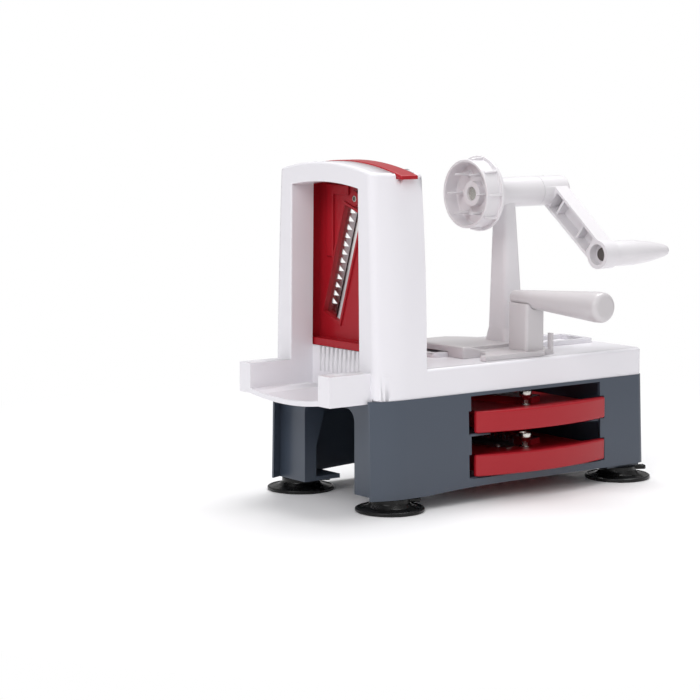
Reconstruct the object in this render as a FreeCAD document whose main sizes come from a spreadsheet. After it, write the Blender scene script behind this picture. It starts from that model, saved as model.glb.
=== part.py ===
import FreeCAD
import Part
import Sketcher
import math
import os
import re

# Hand cranked spiral slicer for vegetables, in millimetres, +Z up.
# X runs from the noodle chute (negative) to the crank (positive), Y = 0 is the middle plane,
# and the origin lies on the table, half way between the front and the rear suction feet.

SIZES = {
    # Suction feet
    "foot_reach": 107,
    "foot_spread": 52,
    "foot_radius": 24,
    "foot_rim": 3,
    "foot_rim_edge": 0.8,
    "foot_dish_rim": 4,
    "foot_flare": 2.5,
    "foot_cap_edge": 1,
    "foot_tab_root": 2,
    "foot_dish": 2,
    "foot_lift": 9.5,
    "foot_neck_radius": 13.5,
    "foot_stud_radius": 4,
    "foot_cap_radius": 6.5,
    "foot_cap": 2.5,
    "foot_tab_reach": 21.5,
    "foot_tab_width": 6,
    "foot_tab_turn": -28,
    "foot_tab_low": 6,
    "foot_tab_high": 9,
    # Base housing
    "seam": 77.4,
    "base_front": 128,
    "base_rear": 121.6,
    "base_half": 63.2,
    "base_flare": 2,
    "base_wall": 2.5,
    "base_corner": 6,
    "nose_run": 28,
    "nose_dip": 7,
    "skirt_rise": 2.3,
    "skirt_front": -84,
    "skirt_peak": -19,
    "leg_front": 120,
    "leg_inner": 29,
    "leg_return_top": 20,
    "leg_return_foot": 10,
    "leg_arch": 68.5,
    "leg_arch_corner": 9,
    "pad": 3,
    "pad_front": 89,
    "pad_inner": 34,
    "stud_gap": 0.05,
    "lug_front": -70,
    "lug_rear": 100,
    "lug_spread": 54,
    "lug_top": 73,
    "lug": 3,
    "lug_half": 7,
    "boss_radius": 4.5,
    "screw_radius": 1.9,
    "screw_head_radius": 3.5,
    "screw_head": 2.5,
    "screw_length": 14,
    "screw_gap": 0.05,
    "screw_room": 0.5,
    # Storage for two spare inserts
    "store_centre": 20.1,
    "store_axis": 47,
    "store_low": 18.2,
    "store_pitch": 30.6,
    "store_left": 64.5,
    "store_right": 57.6,
    "store_floor": 17,
    "store_roof": 75,
    "store_gap": 0.6,
    "store_left_gap": 5.7,
    "ledge": 2,
    "ledge_gap": 0.2,
    "ledge_grip": 4,
    "store_wall": 2,
    # Top cover
    "deck_top": 97,
    "deck_half": 62.5,
    "deck_wall": 3,
    "deck_skin": 2.5,
    "deck_edge": 2.5,
    "tower_front": 124.5,
    "tower_rear": 83.5,
    "tower_front_round": 6,
    "tower_top_round": 2.5,
    "window_edge": 1.2,
    "tower_front_half": 52.2,
    "tower_front_foot_half": 58.5,
    "tower_half": 55,
    "tower_waist_drop": 43,
    "tower_waist_front_half": 55,
    "tower_waist_half": 60.8,
    "tower_run": 26,
    "arch_radius": 220,
    "window_half": 38,
    "window_rise": 9.3,
    "insert_front": 105,
    "insert_gap": 0.3,
    "rear_opening_half": 44,
    "rear_opening_corner": 12,
    "rib_pitch": 5,
    "rib_groove": 2.6,
    "rib_depth": 1.4,
    "rib_low": 88,
    # Chute
    "chute_end": 159,
    "chute_inner": 40,
    "chute_outer": 53,
    "chute_top": 96.5,
    "chute_low": 75.5,
    "chute_floor": 3.5,
    "chute_sag": 3,
    "chute_gap": 0.4,
    # Guide rail and slide
    "lip_inner": 13.5,
    "lip_outer": 18,
    "lip_rise": 3.3,
    "lip_cap": 4.5,
    "slot_half": 6,
    "travel_forward": 54,
    "travel_rear": 55,
    "slide_gap": 0.1,
    "side_gap": 0.3,
    # Carriage
    "plate": 3.4,
    "plate_half": 56,
    "plate_rear": 58,
    "plate_side_rear": 30,
    "wing_front": 25,
    "wing_inner": 50,
    "notch_rear": 12,
    "notch_inner": 36,
    "notch_radius": 14,
    "nose_half": 35,
    "nose_front": 28,
    "nose_rear": 2,
    "nose_crest": 22,
    "nose_rise": 8.1,
    "nose_edge": 1.5,
    "band_half": 21,
    "band_front": 18,
    "band_rear": 54,
    "band_rise": 5.4,
    "keel_front": 18,
    "keel_rear": 54,
    "keel_root": 0.5,
    "keeper_half": 11,
    "keeper": 3,
    "keeper_overrun": 1.5,
    "carriage_screw_radius": 1.5,
    "carriage_screw_head_radius": 3,
    "carriage_screw_head": 2,
    "keeper_screw_length": 10,
    "post_screw_length": 23,
    "keeper_screw_front": 22,
    "keeper_screw_rear": 50,
    "post_screw_front": 36.5,
    "post_screw_rear": 43.5,
    "bracket_front": 18,
    "bracket_rear": 35.5,
    "bracket_near": 50,
    "bracket_far": 29.5,
    "bracket_drop": 3,
    "bracket_edge": 2.5,
    "tab_root": 34,
    "tab_front": 41,
    "tab_rear": 43,
    "tab_near": 51,
    "tab_far": 47,
    "tab_top": 112,
    # Crank post and bearing
    "axis_height": 211,
    "post_top_front": 34,
    "post_top_rear": 45,
    "post_top_half": 8,
    "post_waist": 112,
    "post_waist_front": 32,
    "post_waist_rear": 52,
    "post_waist_half": 10,
    "post_foot_front": 31,
    "post_foot_rear": 53,
    "post_foot_half": 12.5,
    "post_round": 4,
    "post_root": 0.5,
    "bearing_front": 17,
    "bearing_rear": 69.4,
    "bearing_radius": 11,
    "bushing_radius": 7,
    "bushing_length": 10,
    "shaft_radius": 5,
    "turn_gap": 0.05,
    "end_gap": 0.3,
    # Push handle
    "handle_height": 137,
    "handle_line": 26.7,
    "handle_root": 27,
    "handle_end": 122,
    "handle_root_radius": 5.3,
    "handle_end_radius": 10.75,
    "handle_round": 7,
    "handle_pin_radius": 2.5,
    "handle_pin_line": 40,
    "handle_pin_below": 17,
    "handle_pin_above": 2,
    "handle_gap": 0.4,
    "handle_root_edge": 1,
    # Food holder
    "crown_front": 2,
    "crown_radius": 27.3,
    "crown_flange": 2.5,
    "crown_cup_radius": 24.8,
    "crown_wall": 2,
    "crown_disc": 3,
    "crown_hub_radius": 9,
    "crown_hub": 8,
    "rib": 1.8,
    "rib_front": 4,
    "rib_drop": 0.3,
    "prong_radius": 1.8,
    "prong_circle": 16,
    "prong_front": -1,
    "prong_tip": 0.4,
    "prong_root": 0.5,
    # Crank arm and knob
    "arm_front": 79.5,
    "arm_rear": 92,
    "arm_web": 2.4,
    "arm_wall": 2,
    "arm_length": 71.6,
    "arm_turn": 38,
    "arm_root_half": 9.2,
    "arm_tip_half": 8.4,
    "arm_rib": 1.8,
    "arm_rib_drop": 3,
    "arm_rib_first": 17,
    "arm_rib_second": 44,
    "arm_boss_radius": 10.4,
    "arm_boss_recess": 7.6,
    "arm_boss_depth": 6,
    "hub_radius": 11,
    "hub_rear": 96,
    "hub_edge": 3,
    "shaft_front": 9.5,
    "shaft_rear": 90,
    "shaft_pin_radius": 1.5,
    "crown_pin_line": 12.5,
    "crown_pin_half": 8.5,
    "arm_pin_line": 76,
    "arm_pin_half": 10,
    "knob_end": 149.5,
    "knob_radius": 9.3,
    "knob_shoulder": 114,
    "knob_nose": 146,
    "knob_nose_radius": 4.4,
    "knob_taper_bulge": 110,
    "knob_edge": 1,
    "knob_pin_radius": 3,
    "knob_pin_reach": 42,
    "knob_pin_head_radius": 5,
    "knob_pin_head": 2,
    # Blade inserts, in their own frame: u across, v up, w from the window face to the food face
    "bar_half": 61,
    "bar_rise": 27,
    "bar_thick": 8.5,
    "bar_under_radius": 700,
    "bar_proud": 0.6,
    "bar_edge": 1.5,
    "insert_depth": 15.3,
    "frame_half": 50,
    "frame_low": 105,
    "frame_front": 1,
    "frame_root": 1,
    "stile": 5,
    "panel_front": 9.8,
    "panel": 3,
    "strip_turn": 18.3,
    "strip_across": -2.5,
    "strip_up": -3.8,
    "strip_length": 87,
    "slot_start": 6,
    "slot_far": 15,
    "strip_half": 5,
    "strip_rim": 2,
    "strip_rim_rise": 1,
    "blade": 0.8,
    "blade_lift": 4,
    "blade_width": 17,
    "blade_lap": 5,
    "blade_overrun": 3,
    "comb_start": 6,
    "comb_end": 81,
    "comb_seat": 3,
    "comb_near": 3.6,
    "comb_land": 4,
    "comb_hole_near": 5.6,
    "comb_hole_far": 12,
    "comb_hole_share": 0.69,
    "comb_flange": 3.5,
    "comb_tooth": 4.5,
    "coarse_teeth": 12,
    "fine_teeth": 24,
    "blade_screw_radius": 1.1,
    "blade_screw_head_radius": 2,
    "blade_screw_head": 1.4,
    "blade_screw_length": 3.6,
    "blade_screw_inset": 8,
    "blade_screw_line": 12,
    "blade_screw_room": 0.1,
    "corer_radius": 2.2,
    "corer_flare_radius": 4.6,
    "corer_lip": 0.65,
    "corer_bore": 1.4,
    "corer_reach": 23.3,
    "corer_neck": 16.5,
    "corer_cup": 20,
    "corer_flange_radius": 3.4,
    "corer_flange": 0.8,
    "corer_boss": 3,
    "corer_gap": 0.05,
}

document = FreeCAD.newDocument("spiralizer")
sheet = document.addObject("Spreadsheet::Sheet", "sizes")
for row, (alias, amount) in enumerate(SIZES.items(), start=1):
    sheet.set(f"A{row}", alias.replace("_", " "))
    sheet.set(f"B{row}", str(amount))
    sheet.setAlias(f"B{row}", alias)
document.recompute()

WORD = re.compile(r"[a-z_]+")
AXES = {
    "x": FreeCAD.Vector(1, 0, 0),
    "y": FreeCAD.Vector(0, 1, 0),
    "z": FreeCAD.Vector(0, 0, 1),
}
# The first axis of each sketch plane, its second, and the sense of its normal along the third.
PLANES = {"xy": ("XY_Plane", 1), "xz": ("XZ_Plane", -1), "yz": ("YZ_Plane", 1)}
subparts = []


# Sheet expressions

def bound(expression):
    """Return the expression with each alias of the sheet written as sizes.ALIAS."""
    def replace(found):
        word = found.group()
        return "sizes." + word if word in SIZES else word
    return WORD.sub(replace, str(expression))


def amount(expression):
    """Return the number that an expression of sheet aliases has now."""
    return float(sheet.evalExpression(bound(expression)))


def bind(item, **properties):
    """Tie properties of a document object to expressions of sheet aliases."""
    for name, expression in properties.items():
        item.setExpression(name.replace("__", "."), bound(expression))


def place(item, x=0, y=0, z=0):
    """Tie the position of a document object to expressions of sheet aliases."""
    bind(item, Placement__Base__x=x, Placement__Base__y=y, Placement__Base__z=z)


# Part primitives

def box(label, x, y, z):
    """Make a box between three pairs of expressions."""
    item = document.addObject("Part::Box", "box")
    item.Label = label
    bind(item, Length=f"({x[1]}) - ({x[0]})", Width=f"({y[1]}) - ({y[0]})",
         Height=f"({z[1]}) - ({z[0]})")
    place(item, x[0], y[0], z[0])
    return item


def turned(axis):
    """Return the rotation that lays the Z axis of a primitive along an axis."""
    return FreeCAD.Rotation(AXES["z"], AXES[axis])


def rod(label, axis, radius, span, x=0, y=0, z=0):
    """Make a cylinder along an axis, from the first to the second expression of its span."""
    item = document.addObject("Part::Cylinder", "rod")
    item.Label = label
    item.Placement = FreeCAD.Placement(FreeCAD.Vector(), turned(axis))
    bind(item, Radius=radius, Height=f"({span[1]}) - ({span[0]})")
    start = {"x": x, "y": y, "z": z}
    start[axis] = span[0]
    place(item, **start)
    return item


def taper(label, axis, radii, span, x=0, y=0, z=0):
    """Make a cone along an axis, with the first and the second radius at the ends of its span."""
    item = document.addObject("Part::Cone", "taper")
    item.Label = label
    item.Placement = FreeCAD.Placement(FreeCAD.Vector(), turned(axis))
    bind(item, Radius1=radii[0], Radius2=radii[1], Height=f"({span[1]}) - ({span[0]})")
    start = {"x": x, "y": y, "z": z}
    start[axis] = span[0]
    place(item, **start)
    return item


def fuse(label, *items):
    """Join solids into one."""
    joined = document.addObject("Part::MultiFuse", "joined")
    joined.Label = label
    joined.Shapes = list(items)
    joined.Refine = True
    return joined


def group(label, *items):
    """Keep solids apart in one compound."""
    kept = document.addObject("Part::Compound", "kept")
    kept.Label = label
    kept.Links = list(items)
    return kept


def cut(label, base, *tools):
    """Take one or more solids away from a base."""
    removed = tools[0] if len(tools) == 1 else fuse(label + " tools", *tools)
    rest = document.addObject("Part::Cut", "rest")
    rest.Label = label
    rest.Base = base
    rest.Tool = removed
    rest.Refine = True
    return rest


def subpart(item, label):
    """Name a document object as a sub-part that gets a file of its own."""
    item.Label = label
    subparts.append(item)
    return item


# Sketches and features

def new_body(label):
    """Start a body for one sub-part."""
    return document.addObject("PartDesign::Body", label)


def attached_sketch(body, name, plane, offset):
    """Make a sketch on one of the body's origin planes, moved along its normal."""
    sketch = body.newObject("Sketcher::SketchObject", name)
    role = PLANES[plane][0]
    origin_plane = [item for item in body.Origin.OriginFeatures if item.Role == role][0]
    sketch.AttachmentSupport = [(origin_plane, "")]
    sketch.MapMode = "FlatFace"
    bind(sketch, AttachmentOffset__Base__z=offset)
    return sketch


def arc_middle(start, end, radius):
    """Return the middle of an arc: a positive radius bulges to the right of start to end."""
    chord = end.sub(start)
    half = chord.Length / 2
    sagitta = abs(radius) - math.sqrt(radius * radius - half * half)
    side = FreeCAD.Vector(chord.y, -chord.x, 0).normalize()
    return start.add(chord.multiply(0.5)).add(side.multiply(math.copysign(sagitta, radius)))


def draw(sketch, corners):
    """Add one closed loop to a sketch.

    Each corner is (u, v), or (u, v, radius) where the stretch to the next corner is an arc:
    it bulges to the right of the direction of travel, or to the left with a minus sign.
    """
    points = [FreeCAD.Vector(amount(corner[0]), amount(corner[1]), 0) for corner in corners]
    count = len(corners)
    base = sketch.GeometryCount
    ends = []
    for index, corner in enumerate(corners):
        start, end = points[index], points[(index + 1) % count]
        if len(corner) == 3:
            radius = amount(corner[2])
            sketch.addGeometry(Part.Arc(start, arc_middle(start, end, radius), end), False)
            ends.append((1, 2) if radius > 0 else (2, 1))
        else:
            sketch.addGeometry(Part.LineSegment(start, end), False)
            ends.append((1, 2))
    for index in range(count):
        following = (index + 1) % count
        sketch.addConstraint(Sketcher.Constraint(
            "Coincident", base + index, ends[index][1], base + following, ends[following][0]))
    for index, corner in enumerate(corners):
        for kind, expression in (("DistanceX", corner[0]), ("DistanceY", corner[1])):
            rule = sketch.addConstraint(Sketcher.Constraint(
                kind, base + index, ends[index][0], amount(expression)))
            sketch.setExpression(f"Constraints[{rule}]", bound(expression))
        if len(corner) == 3:
            rule = sketch.addConstraint(Sketcher.Constraint(
                "Radius", base + index, abs(amount(corner[2]))))
            sketch.setExpression(f"Constraints[{rule}]", bound(f"abs({corner[2]})"))


def outline(body, name, plane, offset, *loops):
    """Draw closed loops on a sketch plane."""
    sketch = attached_sketch(body, name, plane, offset)
    for corners in loops:
        draw(sketch, corners)
    return sketch


def circle(body, name, plane, offset, u, v, radius):
    """Draw a circle on a sketch plane."""
    sketch = attached_sketch(body, name, plane, offset)
    centre = FreeCAD.Vector(amount(u), amount(v), 0)
    sketch.addGeometry(Part.Circle(centre, AXES["z"], amount(radius)), False)
    for kind, expression in (("DistanceX", u), ("DistanceY", v)):
        rule = sketch.addConstraint(Sketcher.Constraint(kind, 0, 3, amount(expression)))
        sketch.setExpression(f"Constraints[{rule}]", bound(expression))
    rule = sketch.addConstraint(Sketcher.Constraint("Radius", 0, amount(radius)))
    sketch.setExpression(f"Constraints[{rule}]", bound(radius))
    return sketch


def along(plane, span):
    """Return a span along the sketch normal for a span along the world axis."""
    if PLANES[plane][1] > 0:
        return span
    return (f"-({span[1]})", f"-({span[0]})")


def pad(body, name, plane, span, *loops):
    """Add the prism of an outline over a span of the axis across its plane."""
    low, high = along(plane, span)
    sketch = outline(body, name + " outline", plane, low, *loops)
    feature = body.newObject("PartDesign::Pad", name)
    feature.Profile = sketch
    bind(feature, Length=f"({high}) - ({low})")
    return feature


def pocket(body, name, plane, span, *loops):
    """Remove the prism of an outline over a span of the axis across its plane."""
    low, high = along(plane, span)
    sketch = outline(body, name + " outline", plane, high, *loops)
    feature = body.newObject("PartDesign::Pocket", name)
    feature.Profile = sketch
    bind(feature, Length=f"({high}) - ({low})")
    return feature


def bore(body, name, plane, u, v, radius, span):
    """Remove a round hole over a span of the axis across its plane."""
    low, high = along(plane, span)
    sketch = circle(body, name + " circle", plane, high, u, v, radius)
    feature = body.newObject("PartDesign::Pocket", name)
    feature.Profile = sketch
    bind(feature, Length=f"({high}) - ({low})")
    return feature


def boss(body, name, plane, u, v, radius, span):
    """Add a round boss over a span of the axis across its plane."""
    low, high = along(plane, span)
    sketch = circle(body, name + " circle", plane, low, u, v, radius)
    feature = body.newObject("PartDesign::Pad", name)
    feature.Profile = sketch
    bind(feature, Length=f"({high}) - ({low})")
    return feature


def loft(body, name, sections, kind="AdditiveLoft", ruled=True):
    """Join outlines of equal corner count: sections are (plane, offset, corners)."""
    sketches = [outline(body, f"{name} section {index}", plane, offset, corners)
                for index, (plane, offset, corners) in enumerate(sections)]
    feature = body.newObject("PartDesign::" + kind, name)
    feature.Profile = sketches[0]
    feature.Sections = sketches[1:]
    feature.Ruled = ruled
    return feature


def revolve(body, name, plane, corners, axis):
    """Turn an outline about the sketch's own H or V axis."""
    sketch = outline(body, name + " outline", plane, 0, corners)
    feature = body.newObject("PartDesign::Revolution", name)
    feature.Profile = sketch
    feature.ReferenceAxis = (sketch, [axis])
    feature.Angle = 360
    return feature


def soften(body, name, radius, chosen):
    """Round the edges of a body's tip that a test picks out."""
    document.recompute()
    tip = body.Tip
    edges = [f"Edge{index}" for index, edge in enumerate(tip.Shape.Edges, start=1)
             if chosen(edge.BoundBox)]
    if not edges:
        raise ValueError(f"{name}: no edge to round")
    feature = body.newObject("PartDesign::Fillet", name)
    feature.Base = (tip, edges)
    bind(feature, Radius=radius)
    return feature


def join(body, name, other):
    """Add another body's solid to a body."""
    feature = body.newObject("PartDesign::Boolean", name)
    feature.setObjects([other])
    feature.Type = "Fuse"
    return feature


def rounded(low_u, high_u, low_v, high_v, radius):
    """Return the corners of a rectangle with four round corners, counter-clockwise."""
    return [
        (f"({low_u}) + {radius}", low_v),
        (f"({high_u}) - {radius}", low_v, radius),
        (high_u, f"({low_v}) + {radius}"),
        (high_u, f"({high_v}) - {radius}", radius),
        (f"({high_u}) - {radius}", high_v),
        (f"({low_u}) + {radius}", high_v, radius),
        (low_u, f"({high_v}) - {radius}"),
        (low_u, f"({low_v}) + {radius}", radius),
    ]


def rectangle(low_u, high_u, low_v, high_v):
    """Return the corners of a rectangle, counter-clockwise."""
    return [(low_u, low_v), (high_u, low_v), (high_u, high_v), (low_u, high_v)]


def circular(chord_half, sagitta):
    """Return the radius of an arc from half its chord and its sagitta."""
    return f"(({chord_half})^2 + ({sagitta})^2) / (2 * ({sagitta}))"


NEAR_AND_FAR = (-1, 1)
TOLERANCE = 0.1
RIB_COUNT = 9
PRONG_COUNT = 6
SPARE_LEVELS = {"lower": 0, "upper": 1}


# Housing

HOUSING_BOTTOM_HALF = "(base_half + base_flare)"


def housing_half(height, inset):
    """Return the half width of the drafted housing at a height, less an inset."""
    return f"base_half + base_flare * (seam - ({height})) / (seam - foot_lift) - ({inset})"


def plan(front, half, rear, run, dip, corner):
    """Return the plan of a shell whose sides curve in by a dip over a run at the front."""
    turn = circular(run, dip)
    return [
        (f"-({front})", f"-({half}) + ({dip})", turn),
        (f"-({front}) + {run}", f"-({half})"),
        (f"({rear}) - ({corner})", f"-({half})", corner),
        (rear, f"-({half}) + ({corner})"),
        (rear, f"({half}) - ({corner})", corner),
        (f"({rear}) - ({corner})", half),
        (f"-({front}) + {run}", half, turn),
        (f"-({front})", f"({half}) - ({dip})"),
    ]


def housing_section(height, half, rear, inset, front_overrun, corner):
    """Return one level of the housing's outer or inner surface."""
    return ("xy", height, plan(f"base_front + {front_overrun}", f"{half} - {inset}",
                               f"{rear} - {inset}", "nose_run", "nose_dip", corner))


def crosswall(low, high, inset):
    """Return a wall outline across the housing that ends inside its side walls."""
    low_half = housing_half(low, inset)
    high_half = housing_half(high, inset)
    return [(f"-({low_half})", low), (low_half, low), (high_half, high), (f"-({high_half})", high)]


def spare_height(level):
    """Return the height of the window face of a stored insert."""
    return f"store_low + store_pitch * {SPARE_LEVELS[level]}"


def base_housing():
    """Make the open-bottomed lower shell with legs, foot pads and rails for two inserts."""
    body = new_body("housing shell")
    bottom_half, bottom_rear = HOUSING_BOTTOM_HALF, "(base_rear + base_flare / 2)"
    loft(body, "outer shell", [
        housing_section("foot_lift", bottom_half, bottom_rear, 0, 0, "base_corner"),
        housing_section("seam", "base_half", "base_rear", 0, 0, "base_corner"),
    ])
    inner_corner = "base_corner - base_wall"
    loft(body, "inner space", [
        housing_section("foot_lift", bottom_half, bottom_rear, "base_wall", 1, inner_corner),
        housing_section("seam", "base_half", "base_rear", "base_wall", 1, inner_corner),
    ], "SubtractiveLoft")

    rear_edge = "base_rear + base_flare"
    pocket(body, "skirt arch", "xz", (f"-{HOUSING_BOTTOM_HALF} - 1", f"{HOUSING_BOTTOM_HALF} + 1"), [
        ("skirt_front", "foot_lift - 1"),
        (rear_edge, "foot_lift - 1"),
        (rear_edge, "foot_lift + skirt_rise"),
        ("skirt_peak", "foot_lift + skirt_rise", circular("skirt_peak - skirt_front", "skirt_rise")),
        ("skirt_front", "foot_lift"),
    ])

    # Legs: a recessed front panel with an arch, whose edges turn back into the housing.
    turn = circular("nose_run", "nose_dip")
    panel_dip = f"{turn} - sqrt(({turn})^2 - (nose_run - base_front + leg_front)^2)"
    panel_inset = f"base_wall / 2 + {panel_dip}"
    panel_rear = "-leg_front + base_wall"
    pad(body, "leg panel", "yz", ("-leg_front", panel_rear),
        crosswall("foot_lift", "seam", panel_inset))
    pocket(body, "leg arch", "yz", ("-leg_front - 1", f"{panel_rear} + 1"), [
        ("-leg_inner", "foot_lift - 1"),
        ("leg_inner", "foot_lift - 1"),
        ("leg_inner", "leg_arch - leg_arch_corner", "leg_arch_corner"),
        ("leg_inner - leg_arch_corner", "leg_arch"),
        ("-leg_inner + leg_arch_corner", "leg_arch", "leg_arch_corner"),
        ("-leg_inner", "leg_arch - leg_arch_corner"),
    ])
    for side in NEAR_AND_FAR:
        edges = sorted((f"{side} * leg_inner", f"{side} * (leg_inner + base_wall)"), key=amount)
        pad(body, "leg return", "xz", edges, [
            ("-leg_front", "foot_lift"),
            ("-leg_front + leg_return_foot", "foot_lift"),
            ("-leg_front + leg_return_foot", "leg_arch / 2"),
            ("-leg_front + leg_return_top", "leg_arch"),
            ("-leg_front", "leg_arch"),
        ])
    pad(body, "arch lining", "xy", ("leg_arch", "leg_arch + base_wall"),
        rectangle("-leg_front", "-leg_front + leg_return_top",
                  "-leg_inner - base_wall", "leg_inner + base_wall"))
    pocket(body, "chute seat", "yz", ("-base_front - 1", "-leg_front + leg_return_top + 1"), [
        ("-chute_outer - chute_gap", "chute_low - chute_gap"),
        ("-chute_inner", "chute_low - chute_gap", circular("chute_inner", "chute_sag")),
        ("chute_inner", "chute_low - chute_gap"),
        ("chute_outer + chute_gap", "chute_low - chute_gap"),
        ("chute_outer + chute_gap", "seam + 1"),
        ("-chute_outer - chute_gap", "seam + 1"),
    ])

    # Storage: one stepped mouth in the near wall, two cross walls and two pairs of rails.
    wall_span = ("-base_half - base_flare - 1", "-base_half + base_wall + 1")
    pocket(body, "store mouth", "xz", wall_span,
           rectangle("store_centre - store_left", "store_centre + store_right",
                     "store_floor", "store_roof"))
    left_face = "store_centre - bar_half - store_left_gap"
    right_face = "store_centre + bar_half + store_gap"
    for level in SPARE_LEVELS:
        pocket(body, f"{level} bar notch", "xz", wall_span,
               rectangle(left_face, right_face, f"{spare_height(level)} - store_gap",
                         f"{spare_height(level)} + insert_depth + store_gap"))
    for span in ((f"{left_face} - store_wall", left_face),
                 (right_face, f"{right_face} + store_wall")):
        pad(body, "store wall", "yz", span,
            crosswall("foot_lift + skirt_rise", "store_roof + 1", "base_wall / 2"))
    for level in SPARE_LEVELS:
        top = f"{spare_height(level)} - ledge_gap"
        reach = housing_half(top, "base_wall / 2")
        for low_x, high_x in (
                (f"{left_face} - store_wall / 2", "store_centre - frame_half + ledge_grip"),
                ("store_centre + frame_half - ledge_grip", f"{right_face} + store_wall / 2")):
            pad(body, f"{level} rail", "xy", (f"{top} - ledge", top),
                rectangle(low_x, high_x, f"-({reach})", reach))

    # Foot pads and the lugs that take the cover screws.
    pad_reach = housing_half("foot_lift", panel_inset)
    for side in NEAR_AND_FAR:
        for low_x, high_x, inner in (("-leg_front", "-pad_front", "leg_inner"),
                                     ("pad_front", "base_rear - base_wall / 2", "pad_inner")):
            low_y, high_y = sorted((f"{side} * {inner}", f"{side} * ({pad_reach})"), key=amount)
            pad(body, "foot pad", "xy", ("foot_lift", "foot_lift + pad"),
                rectangle(low_x, high_x, low_y, high_y))
        for reach in ("-foot_reach", "foot_reach"):
            bore(body, "stud hole", "xy", reach, f"{side} * foot_spread",
                 "foot_stud_radius + stud_gap", ("foot_lift - 1", "foot_lift + pad + 1"))
        for line in ("lug_front", "lug_rear"):
            low_y, high_y = sorted((f"{side} * (lug_spread - lug_half)",
                                    f"{side} * ({housing_half('lug_top', 'base_wall / 2')})"),
                                   key=amount)
            pad(body, "cover lug", "xy", ("lug_top - lug", "lug_top"),
                rectangle(f"{line} - lug_half", f"{line} + lug_half", low_y, high_y))
            bore(body, "lug hole", "xy", line, f"{side} * lug_spread",
                 "screw_radius + screw_gap", ("lug_top - lug - 1", "lug_top + 1"))
    return subpart(body, "base_housing")


def suction_foot(label, x_side, y_side):
    """Make a rubber suction foot with its stud through the pad and a release tab."""
    body = new_body(label)
    cap_low = "foot_lift + pad"
    revolve(body, "cup", "xz", [
        (0, "foot_dish"),
        ("foot_radius - foot_dish_rim", 0),
        ("foot_radius - foot_rim_edge", 0),
        ("foot_radius", "foot_rim_edge"),
        ("foot_radius", "foot_rim - foot_rim_edge"),
        ("foot_radius - foot_rim_edge", "foot_rim"),
        ("foot_neck_radius + foot_rim", "foot_rim + foot_rim_edge", "-foot_flare"),
        ("foot_neck_radius", "foot_tab_low"),
        ("foot_neck_radius", "foot_lift"),
        ("foot_stud_radius", "foot_lift"),
        ("foot_stud_radius", cap_low),
        ("foot_cap_radius", cap_low),
        ("foot_cap_radius - foot_cap_edge", f"{cap_low} + foot_cap"),
        (0, f"{cap_low} + foot_cap"),
    ], "V_Axis")
    turn = "foot_tab_turn * 1 deg"

    def tab_corner(forward, across):
        return (f"({forward}) * cos({turn}) - ({across}) * sin({turn})",
                f"({forward}) * sin({turn}) + ({across}) * cos({turn})")

    half = "foot_tab_width / 2"
    root = "foot_neck_radius - foot_tab_root"
    pad(body, "release tab", "xy", ("foot_tab_low", "foot_tab_high"), [
        tab_corner(root, f"-{half}"),
        tab_corner("foot_tab_reach", f"-{half}"),
        tab_corner("foot_tab_reach", half),
        tab_corner(root, half),
    ])
    place(body, f"{x_side} * foot_reach", f"{y_side} * foot_spread", 0)
    return subpart(body, label)


def housing_screws():
    """Make the four screws that hold the cover from below."""
    screws = []
    for line in ("lug_front", "lug_rear"):
        for side in NEAR_AND_FAR:
            spot = f"{side} * lug_spread"
            low = "lug_top - lug"
            screws.append(fuse(
                "housing screw",
                rod("head", "z", "screw_head_radius", (f"{low} - screw_head", low), x=line, y=spot),
                rod("shank", "z", "screw_radius", (low, f"{low} + screw_length"), x=line, y=spot)))
    return subpart(group("screws", *screws), "housing_screws")


# Top cover

SEAT = "(axis_height - frame_low)"
TOWER_TOP = "(axis_height + bar_rise - bar_proud)"
WINDOW_CORNER = "(axis_height + window_rise)"


def tower_section(height, front_half, half):
    """Return one level of the tower that holds the insert."""
    turn = circular("tower_run", f"{half} - {front_half}")
    return ("xy", height, [
        ("-tower_front", f"-{front_half}", turn),
        ("-tower_front + tower_run", f"-{half}"),
        ("-tower_rear", f"-{half}"),
        ("-tower_rear", half),
        ("-tower_front + tower_run", half, turn),
        ("-tower_front", front_half),
    ])


def arch_height(crest, radius, across):
    """Return the height of an arch at a distance from its crest."""
    return f"{crest} - ({radius}) + sqrt(({radius})^2 - ({across})^2)"


def above_arch(crest, radius, half, top):
    """Return the region between an arch in the tower and a height over it."""
    side = f"axis_height + {arch_height(crest, radius, half)}"
    return [(f"-({half})", side, f"-({radius})"), (half, side), (half, top), (f"-({half})", top)]


def tower_shape():
    """Make the solid shape of the tower with its arched top and soft edges."""
    body = new_body("tower")
    loft(body, "tower walls", [
        tower_section("seam", "tower_front_foot_half", "deck_half"),
        tower_section("axis_height - tower_waist_drop", "tower_waist_front_half",
                      "tower_waist_half"),
        tower_section(f"{TOWER_TOP} + 1", "tower_front_half", "tower_half"),
    ], ruled=False)
    pocket(body, "arched top", "yz", ("-tower_front - 1", "-tower_rear + 1"),
           above_arch("bar_rise - bar_proud", "(arch_radius - bar_proud)", "deck_half + 2",
                      f"{TOWER_TOP} + deck_edge"))
    front = amount("-tower_front") + TOLERANCE
    soften(body, "tower front edges", "tower_front_round",
           lambda edge: edge.XMax < front and edge.ZLength > amount("tower_run"))
    soften(body, "tower top edges", "tower_top_round",
           lambda edge: edge.Center.z > amount(f"{TOWER_TOP} - tower_run"))
    return body


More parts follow.
